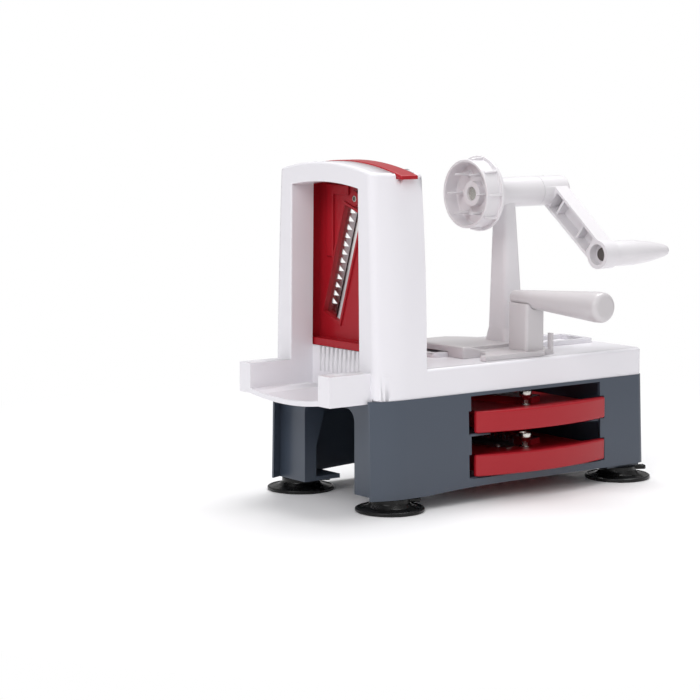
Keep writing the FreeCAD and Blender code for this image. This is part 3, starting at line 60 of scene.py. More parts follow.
class Wire:
    """An output socket of a node that takes part in arithmetic."""

    def __init__(self, graph: "Graph", socket: bpy.types.NodeSocket) -> None:
        """Keep the socket and the graph that new nodes are added to."""
        self.graph = graph
        self.socket = socket

    def _math(self, operation: str, first: Value, second: Value) -> "Wire":
        """Add a Math node on two values and return its result."""
        return self.graph.node("ShaderNodeMath", {"operation": operation}, {0: first, 1: second})

    def __add__(self, other: Value) -> "Wire":
        """Return self + other."""
        return self._math("ADD", self, other)

    def __radd__(self, other: Value) -> "Wire":
        """Return other + self."""
        return self._math("ADD", other, self)

    def __mul__(self, other: Value) -> "Wire":
        """Return self * other."""
        return self._math("MULTIPLY", self, other)

    def __rmul__(self, other: Value) -> "Wire":
        """Return other * self."""
        return self._math("MULTIPLY", other, self)


class Graph:
    """A node tree with one method that adds any node."""

    def __init__(self, tree: bpy.types.NodeTree) -> None:
        """Keep the tree."""
        self.tree = tree

    def node(self, kind: str, settings: Mapping[str, object] = {},
             inputs: Mapping[Union[int, str], Value] = {}, output: Union[int, str] = 0) -> Wire:
        """Add a node.

        Args:
            kind: the node's type.
            settings: its properties, and "stops" for the stops of a ramp, set first.
            inputs: a value or a wire for each socket, by name or index.
            output: the socket that is wanted.

        Returns:
            The wanted output as a wire.
        """
        made = self.tree.nodes.new(kind)
        for key, value in settings.items():
            if key == "stops":
                self._set_stops(made.color_ramp, value)
            else:
                setattr(made, key, value)
        for key, value in inputs.items():
            if isinstance(value, Wire):
                self.tree.links.new(value.socket, made.inputs[key])
            else:
                made.inputs[key].default_value = value
        return Wire(self, made.outputs[output])

    @staticmethod
    def _set_stops(ramp: bpy.types.ColorRamp, stops: Sequence[tuple[float, float]]) -> None:
        """Set a grey ramp to pairs of a position and a level."""
        while len(ramp.elements) < len(stops):
            ramp.elements.new(1.0)
        for element, (position, level) in zip(ramp.elements, stops):
            element.position = position
            element.color = (level, level, level, 1)


class SurfaceGraph(Graph):
    """The node tree of one material, with a principled shader at its end."""

    def __init__(self, name: str) -> None:
        """Start a material of that name."""
        self.material = bpy.data.materials.new(name)
        self.material.use_nodes = True
        super().__init__(self.material.node_tree)
        self.shader = self.tree.nodes["Principled BSDF"]

    def place(self, stretch: Point = (1, 1, 1)) -> Wire:
        """Return Object coordinates, stretched along the axes."""
        source = self.node("ShaderNodeTexCoord", output="Object")
        return self.node("ShaderNodeMapping", {}, {"Vector": source, "Scale": stretch})

    def noise(self, grain: float, detail: float, stretch: Point = (1, 1, 1)) -> Wire:
        """Return a noise of about 0.5 whose features are that many millimetres wide."""
        return self.node("ShaderNodeTexNoise", {}, {
            "Vector": self.place(stretch), "Scale": 1 / (grain * MM), "Detail": detail})

    def ramp(self, factor: Wire, stops: Sequence[tuple[float, float]]) -> Wire:
        """Return a factor passed through a grey ramp."""
        return self.node("ShaderNodeValToRGB", {"stops": stops}, {"Fac": factor})

    def blend(self, factor: Value, first: Value, second: Value) -> Wire:
        """Return a mix of two colours."""
        return self.node("ShaderNodeMix", {"data_type": "RGBA"},
                         {0: factor, 6: first, 7: second}, 2)

    def bump(self, height: Wire, depth: float) -> Wire:
        """Return the normal of a surface raised by a height of that many millimetres."""
        return self.node("ShaderNodeBump", {}, {
            "Height": height, "Distance": depth * MM, "Strength": 1.0})

    def finish(self, sockets: Mapping[str, Value]) -> bpy.types.Material:
        """Set or link sockets of the principled shader and return the material."""
        for key, value in sockets.items():
            if isinstance(value, Wire):
                self.tree.links.new(value.socket, self.shader.inputs[key])
            else:
                self.shader.inputs[key].default_value = value
        return self.material


def tinted(colour: Colour, factor: float = 1.0) -> tuple[float, float, float, float]:
    """Return a colour made darker or lighter, with its alpha."""
    return (*(min(1.0, part * factor) for part in colour), 1.0)


# Finishes

@dataclass(frozen=True)
class MouldedPlastic:
    """Injection moulded plastic: one colour, with flow marks, a mould grain and rub marks.

    Grain, cloud and scuff are feature sizes in millimetres, flow and rub are shares.
    """

    name: str
    colour: Colour
    roughness: float
    grain: float = 0.9
    grain_depth: float = 0.004
    cloud: float = 60
    flow: float = 0.03
    scuff: float = 14
    scuff_span: tuple[float, float] = (0.52, 0.78)
    rub: float = 0.03
    index: float = 1.53
    shine: float = 0.5

    def make(self) -> bpy.types.Material:
        """Return the material."""
        graph = SurfaceGraph(self.name)
        cloud = graph.noise(self.cloud, 2, (1, 1, 0.35))
        fine = graph.noise(self.grain, 2)
        roughness = self.roughness
        if self.rub:
            low, high = self.scuff_span
            worn = graph.ramp(graph.noise(self.scuff, 6, (1, 0.3, 1)), ((low, 0.0), (high, 1.0)))
            roughness = self.roughness + worn * self.rub
        return graph.finish({
            "Base Color": graph.blend(cloud, tinted(self.colour, 1 - self.flow),
                                      tinted(self.colour, 1 + self.flow)),
            "Roughness": roughness,
            "IOR": self.index,
            "Specular IOR Level": self.shine,
            "Normal": graph.bump(fine, self.grain_depth),
        })


@dataclass(frozen=True)
class SuctionRubber:
    """Black rubber with a fine skin and a trace of dust."""

    name: str = "suction_rubber"
    colour: Colour = (0.004, 0.004, 0.004)
    dust: Colour = (0.010, 0.010, 0.011)
    roughness: float = 0.26
    shine: float = 0.3
    patch: float = 9
    skin: float = 0.5
    skin_depth: float = 0.02

    def make(self) -> bpy.types.Material:
        """Return the material."""
        graph = SurfaceGraph(self.name)
        patch = graph.ramp(graph.noise(self.patch, 5), ((0.45, 0.0), (0.8, 1.0)))
        skin = graph.noise(self.skin, 3)
        return graph.finish({
            "Base Color": graph.blend(patch * 0.5, tinted(self.colour), tinted(self.dust)),
            "Roughness": self.roughness + patch * 0.2,
            "Specular IOR Level": self.shine,
            "Normal": graph.bump(skin, self.skin_depth),
        })


@dataclass(frozen=True)
class Steel:
    """Stainless steel with fine marks along one axis."""

    name: str
    colour: Colour = (0.62, 0.61, 0.60)
    roughness: float = 0.22
    marks: Point = (1, 1, 0.03)
    line: float = 0.35
    depth: float = 0.006

    def make(self) -> bpy.types.Material:
        """Return the material."""
        graph = SurfaceGraph(self.name)
        lines = graph.noise(self.line, 3, self.marks)
        smear = graph.noise(5, 3)
        return graph.finish({
            "Base Color": graph.blend(smear, tinted(self.colour, 0.9), tinted(self.colour, 1.08)),
            "Metallic": 1.0,
            "Roughness": self.roughness - 0.1 + lines * 0.16 + smear * 0.06,
            "Normal": graph.bump(lines, self.depth),
        })


class Finish(Enum):
    """The finishes of the slicer, each with its slot in the record."""

    COVER = ("cover_white", MouldedPlastic("cover_plastic", (0.80, 0.785, 0.825), 0.26,
                                           grain_depth=0.001, flow=0.01, rub=0))
    # Painted shade: a darker copy of the cover's white plastic, standing in for the shadow that the
    # tower casts on the carriage and push handle.
    CARRIAGE = ("cover_white", MouldedPlastic("carriage_plastic", (0.575, 0.55, 0.565), 0.30,
                                              grain_depth=0.002, rub=0))
    # Painted shade: a slightly darker copy of the cover's white plastic, standing in for the shade on
    # the crank parts behind the tower.
    CRANK = ("cover_white", MouldedPlastic("crank_plastic", (0.74, 0.72, 0.745), 0.28,
                                           grain_depth=0.002, rub=0))
    HOUSING = ("housing_grey", MouldedPlastic("housing_plastic", (0.052, 0.067, 0.094), 0.34,
                                              grain=0.5, grain_depth=0.008, rub=0.05))
    INSERT = ("insert_red", MouldedPlastic("insert_plastic", (0.37, 0.010, 0.018), 0.30,
                                           flow=0.06, rub=0.05, shine=0.3))
    BEARING = ("bearing_grey", MouldedPlastic("bearing_plastic", (0.30, 0.30, 0.31), 0.42))
    RUBBER = ("foot_rubber", SuctionRubber())
    BLADE = ("blade_steel", Steel("blade_steel"))
    TURNED = ("blade_steel", Steel("turned_steel", (0.68, 0.66, 0.62), 0.2, (1, 1, 0.2)))
    SCREW = ("fastener_steel", Steel("screw_steel", (0.52, 0.52, 0.53), 0.34, (1, 1, 1)))
    PIN = ("fastener_steel", Steel("pin_steel", (0.16, 0.15, 0.14), 0.45, (1, 1, 1)))

    def __init__(self, slot: str, recipe: Union[MouldedPlastic, SuctionRubber, Steel]) -> None:
        """Keep the record's slot and make the material once."""
        self.slot = slot
        self.material = recipe.make()


# Mesh tools, all in millimetres

class Axis(Enum):
    """The direction that a turned shape points in."""

    X = Matrix.Rotation(math.pi / 2, 3, "Y")
    Y = Matrix.Rotation(-math.pi / 2, 3, "X")
    Z = Matrix.Identity(3)


def rounded_line(corners: Sequence[Corner], steps: int = 6) -> list[tuple[float, float]]:
    """Round the corners of a flat line.

    Args:
        corners: (a, b) or (a, b, radius) for each corner.
        steps: stretches along each rounding.

    Returns:
        The points of the rounded line.
    """
    points = []
    last = len(corners) - 1
    for index, corner in enumerate(corners):
        spot = Vector(corner[:2])
        if len(corner) < 3 or index in (0, last):
            points.append(tuple(spot))
            continue
        before = Vector(corners[index - 1][:2]) - spot
        after = Vector(corners[index + 1][:2]) - spot
        half = before.angle(after) / 2
        reach = min(corner[2] / math.tan(half), 0.49 * before.length, 0.49 * after.length)
        radius = reach * math.tan(half)
        centre = spot + (before.normalized() + after.normalized()).normalized() * (
            radius / math.sin(half))
        start = spot + before.normalized() * reach - centre
        turn = start.angle_signed(spot + after.normalized() * reach - centre)
        for step in range(steps + 1):
            angle = -turn * step / steps
            arm = Matrix.Rotation(angle, 2) @ start
            points.append(tuple(centre + arm))
    return points


def turned(profile: Sequence[tuple[float, float]], axis: Axis, centre: Point,
           around: int = 96) -> bpy.types.Mesh:
    """Turn a line about an axis into a closed mesh.

    Args:
        profile: points (along, radius) from one end to the other.
        axis: the axis's direction.
        centre: a point on the axis, from which "along" counts.
        around: faces around the shape.

    Returns:
        The mesh.
    """
    shape = bmesh.new()
    rings = []
    for along, radius in profile:
        if radius < 1e-6:
            rings.append([shape.verts.new((0, 0, along))])
        else:
            rings.append([shape.verts.new((radius * math.cos(turn), radius * math.sin(turn), along))
                          for turn in (2 * math.pi * k / around for k in range(around))])
    loop = rings if len(rings[0]) == 1 else rings + rings[:1]
    for lower, upper in zip(loop, loop[1:]):
        for k in range(around):
            corners = []
            for ring, spot in ((lower, k), (lower, k + 1), (upper, k + 1), (upper, k)):
                vertex = ring[spot % len(ring)]
                if vertex not in corners:
                    corners.append(vertex)
            if len(corners) > 2:
                shape.faces.new(corners)
    bmesh.ops.recalc_face_normals(shape, faces=shape.faces)
    return as_mesh(shape, Matrix.Translation(centre) @ axis.value.to_4x4())


def plain_pin(start: float, end: float, radius: float,
              corner: float) -> list[tuple[float, float]]:
    """Return the profile of a straight pin with rounded rims."""
    return rounded_line([(start, 0), (start, radius, corner), (end, radius, corner), (end, 0)], 3)


def prism(outline: Sequence[tuple[float, float]], low: float, high: float) -> bpy.types.Mesh:
    """Raise an outline in the XY plane from one height to another."""
    shape = bmesh.new()
    floor = shape.faces.new([shape.verts.new((*point, low)) for point in outline])
    raised = bmesh.ops.extrude_face_region(shape, geom=[floor])["geom"]
    top = [item for item in raised if isinstance(item, bmesh.types.BMVert)]
    bmesh.ops.translate(shape, verts=top, vec=(0, 0, high - low))
    bmesh.ops.recalc_face_normals(shape, faces=shape.faces)
    return as_mesh(shape)


def as_mesh(shape: bmesh.types.BMesh, place: Matrix = Matrix.Identity(4)) -> bpy.types.Mesh:
    """Return a mesh of an edit mesh, moved to its place, and free the edit mesh."""
    bmesh.ops.transform(shape, matrix=place, verts=shape.verts)
    mesh = bpy.data.meshes.new("part")
    shape.to_mesh(mesh)
    shape.free()
    return mesh


def joined(*meshes: bpy.types.Mesh) -> bpy.types.Mesh:
    """Return one mesh of several."""
    shape = bmesh.new()
    for mesh in meshes:
        shape.from_mesh(mesh)
        bpy.data.meshes.remove(mesh)
    return as_mesh(shape)


def moved(mesh: bpy.types.Mesh, place: Matrix) -> bpy.types.Mesh:
    """Move a mesh and return it."""
    mesh.transform(place)
    return mesh


def modified(mesh: bpy.types.Mesh, kind: str, settings: Mapping[str, object]) -> bpy.types.Mesh:
    """Return what a modifier makes of a mesh.

    Args:
        mesh: the mesh, which is used up.
        kind: the modifier's type.
        settings: its properties, and the inputs of a node group by socket identifier.

    Returns:
        The plain result.
    """
    holder = bpy.data.objects.new("holder", mesh)
    bpy.context.scene.collection.objects.link(holder)
    modifier = holder.modifiers.new("step", kind)
    for key, value in settings.items():
        if key.startswith("Socket"):
            modifier[key] = value
        else:
            setattr(modifier, key, value)
    graph = bpy.context.evaluated_depsgraph_get()
    result = bpy.data.meshes.new_from_object(holder.evaluated_get(graph), depsgraph=graph)
    bpy.data.objects.remove(holder)
    bpy.data.meshes.remove(mesh)
    return result


def bevelled(mesh: bpy.types.Mesh, width: float, segments: int = 3,
             crease: float = 33) -> bpy.types.Mesh:
    """Round the edges of a mesh that turn by more than a crease in degrees."""
    return modified(mesh, "BEVEL", {
        "width": width, "segments": segments, "limit_method": "ANGLE",
        "angle_limit": math.radians(crease), "miter_outer": "MITER_ARC"})


def carved(mesh: bpy.types.Mesh, tool: bpy.types.Mesh) -> bpy.types.Mesh:
    """Take one mesh away from another."""
    cutter = bpy.data.objects.new("cutter", tool)
    bpy.context.scene.collection.objects.link(cutter)
    result = modified(mesh, "BOOLEAN", {"object": cutter, "solver": "EXACT"})
    bpy.data.objects.remove(cutter)
    bpy.data.meshes.remove(tool)
    return result


def solid_of(node: str, weld: float = 0.002, flat: float = 0.05) -> bmesh.types.BMesh:
    """Return a CAD node's solid in millimetres, with the triangles of flat faces joined."""
    shape = bmesh.new()
    shape.from_mesh(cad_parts[node].data)
    bmesh.ops.scale(shape, vec=(1 / MM, 1 / MM, 1 / MM), verts=shape.verts)
    bmesh.ops.remove_doubles(shape, verts=shape.verts, dist=weld)
    bmesh.ops.dissolve_degenerate(shape, dist=weld, edges=shape.edges)
    bmesh.ops.dissolve_limit(shape, angle_limit=math.radians(flat), verts=shape.verts,
                             edges=shape.edges)
    return shape


def softened(node: str, width: float, segments: int = 3, crease: float = 33) -> bpy.types.Mesh:
    """Return a CAD node's solid with soft edges.

    Args:
        node: the CAD node.
        width: the rounding, in millimetres.
        segments: faces across a rounding.
        crease: edges that turn by more degrees than this are sharp.

    Returns:
        The mesh.
    """
    shape = solid_of(node)
    sharp = [edge for edge in shape.edges
             if len(edge.link_faces) == 2 and edge.calc_face_angle(0) > math.radians(crease)]
    if sharp:
        bmesh.ops.bevel(shape, geom=sharp, offset=width, offset_type="OFFSET", segments=segments,
                        profile=0.5, affect="EDGES", clamp_overlap=True, miter_outer="ARC")
    return as_mesh(shape)


def shaded(mesh: bpy.types.Mesh, crease: float) -> bpy.types.Mesh:
    """Shade a mesh smoothly but keep its flat faces flat.

    Args:
        mesh: the mesh, which is used up.
        crease: edges sharper than that many degrees stay sharp.

    Returns:
        The mesh with normals led by the large faces, and with no face of over four corners.
    """
    mesh.shade_smooth()
    mesh.set_sharp_from_angle(angle=math.radians(crease))
    led = modified(mesh, "WEIGHTED_NORMAL", {"mode": "FACE_AREA", "weight": 50, "keep_sharp": True})
    return modified(led, "TRIANGULATE", {"min_vertices": 5, "keep_custom_normals": True})


def piece(name: str, mesh: bpy.types.Mesh, finish: Finish, body: str, nodes: Sequence[str],
          crease: float = 38) -> bpy.types.Object:
    """Turn a finished mesh into a piece of the slicer.

    Args:
        name: the piece's name.
        mesh: its mesh, in millimetres.
        finish: its finish.
        body: the CAD body that it rides on.
        nodes: the CAD nodes that it stands for.
        crease: edges sharper than that many degrees stay sharp in the shading.

    Returns:
        The piece.
    """
    mesh = shaded(mesh, crease)
    mesh.transform(Matrix.Scale(MM, 4))
    mesh.name = name
    mesh.materials.clear()
    mesh.materials.append(finish.material)
    made = bpy.data.objects.new(name, mesh)
    bpy.context.scene.collection.objects.link(made)
    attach(made, body)
    if nodes:
        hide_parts(*nodes)
    LOG.info("%s: %d faces on %s", name, len(mesh.polygons), body)
    return made


# Repeats

class Repeat(Graph):
    """A Geometry Nodes tree that repeats a part on spots, in a ring or along a row."""

    class Layout(Enum):
        """How the repeats stand."""

        SPOTS = "spots"
        RING = "ring"
        ROW = "row"

    def __init__(self, layout: "Repeat.Layout") -> None:
        """Build the tree of one layout."""
        super().__init__(bpy.data.node_groups.new("repeat_" + layout.value, "GeometryNodeTree"))
        self.sockets = {}
        for name, kind in (("Geometry", "Geometry"), ("Part", "Object"), ("Count", "Int"),
                           ("Axis", "Vector"), ("Step", "Vector"), ("Seed", "Int"),
                           ("Finish", "Material")):
            item = self.tree.interface.new_socket(name, in_out="INPUT",
                                                  socket_type="NodeSocket" + kind)
            self.sockets[name] = item.identifier
        self.tree.interface.new_socket("Geometry", in_out="OUTPUT",
                                       socket_type="NodeSocketGeometry")
        entry = self.tree.nodes.new("NodeGroupInput")
        given = {name: Wire(self, entry.outputs[name]) for name in self.sockets}
        part = self.node("GeometryNodeObjectInfo", {}, {"Object": given["Part"]}, "Geometry")
        number = self.node("GeometryNodeInputIndex")
        if layout is Repeat.Layout.SPOTS:
            points = given["Geometry"]
            turn = self.node("FunctionNodeRandomValue", {"data_type": "FLOAT"},
                             {2: 0.0, 3: 2 * math.pi, "ID": number, "Seed": given["Seed"]}, 1)
        else:
            points = self.node("GeometryNodePoints", {}, {
                "Count": given["Count"],
                "Position": self.node("ShaderNodeVectorMath", {"operation": "SCALE"},
                                      {0: given["Step"], "Scale": number})})
            turn = number * 0.0
        if layout is Repeat.Layout.RING:
            turn = number * 2 * math.pi * self.node(
                "ShaderNodeMath", {"operation": "DIVIDE"}, {0: 1.0, 1: given["Count"]})
        spin = self.node("FunctionNodeAxisAngleToRotation", {},
                         {"Axis": given["Axis"], "Angle": turn})
        placed = self.node("GeometryNodeInstanceOnPoints", {}, {
            "Points": points, "Instance": part, "Rotation": spin})
        real = self.node("GeometryNodeRealizeInstances", {}, {0: placed})
        dressed = self.node("GeometryNodeSetMaterial", {}, {
            "Geometry": real, "Material": given["Finish"]})
        leave = self.tree.nodes.new("NodeGroupOutput")
        self.tree.links.new(dressed.socket, leave.inputs[0])

    def make(self, part: bpy.types.Mesh, finish: Finish, spots: Sequence[Point] = (),
             count: int = 0, axis: Point = (0, 0, 1), step: Point = (0, 0, 0),
             seed: int = 1) -> bpy.types.Mesh:
        """Repeat a part.

        Args:
            part: the part's mesh at the origin, which is used up.
            finish: its finish.
            spots: where the repeats stand, for that layout.
            count: their number, for a ring or a row.
            axis: the axis that they are turned about.
            step: the way from one to the next, for a row.
            seed: picks the turns of repeats on spots.

        Returns:
            One plain mesh of all the repeats.
        """
        source = bpy.data.objects.new("source", part)
        bpy.context.scene.collection.objects.link(source)
        base = bpy.data.meshes.new("spots")
        base.from_pydata(list(spots), [], [])
        values = {"Part": source, "Count": count, "Axis": axis, "Step": step, "Seed": seed,
                  "Finish": finish.material}
        settings = {"node_group": self.tree}
        settings.update({self.sockets[name]: value for name, value in values.items()})
        result = modified(base, "NODES", settings)
        bpy.data.objects.remove(source)
        bpy.data.meshes.remove(part)
        return result


# Sub-assemblies

@dataclass
class Fasteners:
    """Pan head screws with a cross recess."""

    head_radius: float
    head: float
    shank_radius: float
    length: float
    recess: float = 0.62

    def part(self) -> bpy.types.Mesh:
        """Return one screw whose head stands on the XY plane and whose shank points down."""
        profile = rounded_line([
            (-self.length, 0), (-self.length, self.shank_radius * 0.4),
            (-self.length + self.shank_radius, self.shank_radius), (0, self.shank_radius),
            (0, self.head_radius, 0.1), (self.head * 0.45, self.head_radius, self.head * 0.4),
            (self.head, self.head_radius * 0.55, self.head * 0.5), (self.head, 0)], 4)
        screw = turned(profile, Axis.Z, (0, 0, 0), 32)
        reach, half = self.head_radius * self.recess, self.head_radius * 0.13
        low, high = self.head * 0.3, self.head * 1.5
        cross = [(reach, half), (half, half), (half, reach), (-half, reach), (-half, half),
                 (-reach, half), (-reach, -half), (-half, -half), (-half, -reach),
                 (half, -reach), (half, -half), (reach, -half)]
        return carved(screw, prism(cross, low, high))


@dataclass
class Housing:
    """The slate grey base with its four suction feet and the cover screws."""

    foot_reach: float = 107
    foot_spread: float = 52
    foot_radius: float = 24
    neck_radius: float = 13.5
    lift: float = 9.5
    pad_gap: float = 0.05
    stud_radius: float = 4
    cap_radius: float = 6.5
    cap_low: float = 12.55
    cap_top: float = 14.9
    tab_turn: float = -28
    tab_root: float = 11.5
    tab_end: float = 21.4
    tab_half: float = 3
    tab_low: float = 6.1
    tab_top: float = 8.9
    ridge_half: tuple[float, float] = (0.45, 2.2)
    ridge_line: float = 16.2
    ridge_pitch: float = 1.7
    ridge_count: int = 3
    lug_lines: tuple[float, float] = (-70, 100)
    lug_spread: float = 54
    lug_low: float = 70

    def foot(self) -> bpy.types.Mesh:
        """Return one suction foot about the Z axis: cup, bead, neck, stud and cap."""
        rim, neck, pad = self.foot_radius, self.neck_radius, self.lift - self.pad_gap
        stud, cap = self.stud_radius, self.cap_radius
        cup = rounded_line([
            (2.0, 0), (1.9, 7, 2), (1.2, 14.5, 6), (0.05, 20.4, 0.6), (0, rim - 1.1, 0.4),
            (0.7, rim, 0.5), (2.3, rim, 0.6), (2.95, rim - 1.2, 0.5), (2.35, rim - 2.4, 0.6),
            (2.75, rim - 4.2, 1.5), (3.7, neck + 2.6, 2.2), (6.2, neck, 1.6), (pad, neck, 0.5),
            (pad, stud, 0.2), (self.cap_low, stud, 0.2), (self.cap_low, cap, 0.4),
            (self.cap_top, cap - 0.9, 0.9), (self.cap_top, 0)], 5)
        root, end, half = self.tab_root, self.tab_end, self.tab_half
        tongue = rounded_line([(root, -half), (end, -half, 2.2), (end, half, 2.2), (root, half)], 6)
        tab = bevelled(prism(tongue, self.tab_low, self.tab_top), 0.6)
        long, wide = self.ridge_half
        ridge = bevelled(prism([(-long, -wide), (long, -wide), (long, wide), (-long, wide)],
                               8.6, 9.3), 0.3, 2)
        ridges = Repeat(Repeat.Layout.ROW).make(ridge, Finish.RUBBER, count=self.ridge_count,
                                                step=(self.ridge_pitch, 0, 0))
        grip = moved(ridges, Matrix.Translation((self.ridge_line, 0, 0)))
        turn = Matrix.Rotation(math.radians(self.tab_turn), 4, "Z")
        return joined(turned(cup, Axis.Z, (0, 0, 0)), moved(joined(tab, grip), turn))

    def build(self) -> None:
        """Build the housing's pieces."""
        piece("housing_shell", as_mesh(solid_of("base_housing")), Finish.HOUSING, "housing",
              ["base_housing"])
        for x_name, x_side in (("front", -1), ("rear", 1)):
            for y_name, y_side in (("near", -1), ("far", 1)):
                place = Matrix.Translation((x_side * self.foot_reach, y_side * self.foot_spread, 0))
                name = f"foot_{x_name}_{y_name}"
                piece(name.replace("foot", "suction_foot"), moved(self.foot(), place),
                      Finish.RUBBER, "housing", [name])
        screw = Fasteners(head_radius=3.5, head=2.5, shank_radius=1.9, length=14).part()
        screw.transform(Matrix.Rotation(math.pi, 4, "X"))
        spots = [(line, side * self.lug_spread, self.lug_low)
                 for line in self.lug_lines for side in (-1, 1)]
        piece("cover_fasteners", Repeat(Repeat.Layout.SPOTS).make(screw, Finish.SCREW, spots),
              Finish.SCREW, "housing", ["housing_screws"])


@dataclass
class Cover:
    """The white cover, whose sizes are all in its solid: deck, tower, chute and guide rail."""

    def build(self) -> None:
        """Build the cover."""
        piece("cover_shell", as_mesh(solid_of("top_cover")), Finish.COVER, "housing",
              ["top_cover"])


@dataclass
class Carriage:
    """The sliding carriage with the crank post and the push handle."""

    keeper_low: float = 90.8
    keeper_lines: tuple[float, float] = (22, 50)
    keeper_screw: float = 10
    post_lines: tuple[float, float] = (36.5, 43.5)
    post_screw: float = 23
    handle_line: float = 26.7
    handle_height: float = 137
    handle_root: float = 27
    handle_end: float = 122
    root_radius: float = 5.3
    end_radius: float = 10.75
    pin_across: float = -40
    pin_span: tuple[float, float] = (120, 139)
    pin_radius: float = 2.5

    def handle(self) -> bpy.types.Mesh:
        """Return the push handle, a long cone with a domed end."""
        length = self.handle_end - self.handle_root
        profile = rounded_line([
            (0, 0), (0, self.root_radius, 0.9), (length - 8, self.end_radius, 18),
            (length, self.end_radius * 0.97, 7.2), (length, 0)], 14)
        place = Matrix.Translation((self.handle_line, -self.handle_root, self.handle_height))
        return moved(turned(profile, Axis.Z, (0, 0, 0)), place @ Matrix.Rotation(
            math.pi / 2, 4, "X"))

    def screws(self, lines: Sequence[float], length: float) -> bpy.types.Mesh:
        """Return the screws of one length that stand under the keeper."""
        screw = Fasteners(head_radius=3, head=2, shank_radius=1.5, length=length).part()
        screw.transform(Matrix.Rotation(math.pi, 4, "X"))
        spots = [(line, 0, self.keeper_low) for line in lines]
        return Repeat(Repeat.Layout.SPOTS).make(screw, Finish.SCREW, spots, seed=len(lines))

    def build(self) -> None:
        """Build the carriage's pieces."""
        piece("carriage_plate", softened("carriage_base", 0.7), Finish.CARRIAGE,
              "carriage", ["carriage_base"])
        piece("post_and_bearing", softened("crank_post", 0.6), Finish.CRANK,
              "carriage", ["crank_post"])
        piece("keeper_plate", softened("slide_keeper", 0.4), Finish.CARRIAGE,
              "carriage", ["slide_keeper"])
        piece("bearing_rings", softened("shaft_bushings", 0.3), Finish.BEARING,
              "carriage", ["shaft_bushings"])
        piece("keeper_fasteners", self.screws(self.keeper_lines, self.keeper_screw),
              Finish.SCREW, "carriage", ["keeper_screws"])
        piece("post_fasteners", self.screws(self.post_lines, self.post_screw),
              Finish.SCREW, "carriage", ["post_screws"])
        piece("push_grip", self.handle(), Finish.CARRIAGE, "carriage", ["push_handle"])
        pin = plain_pin(*self.pin_span, self.pin_radius, 0.4)
        piece("push_grip_pin", turned(pin, Axis.Z, (self.handle_line, self.pin_across, 0), 48),
              Finish.PIN, "carriage", ["handle_pin"])


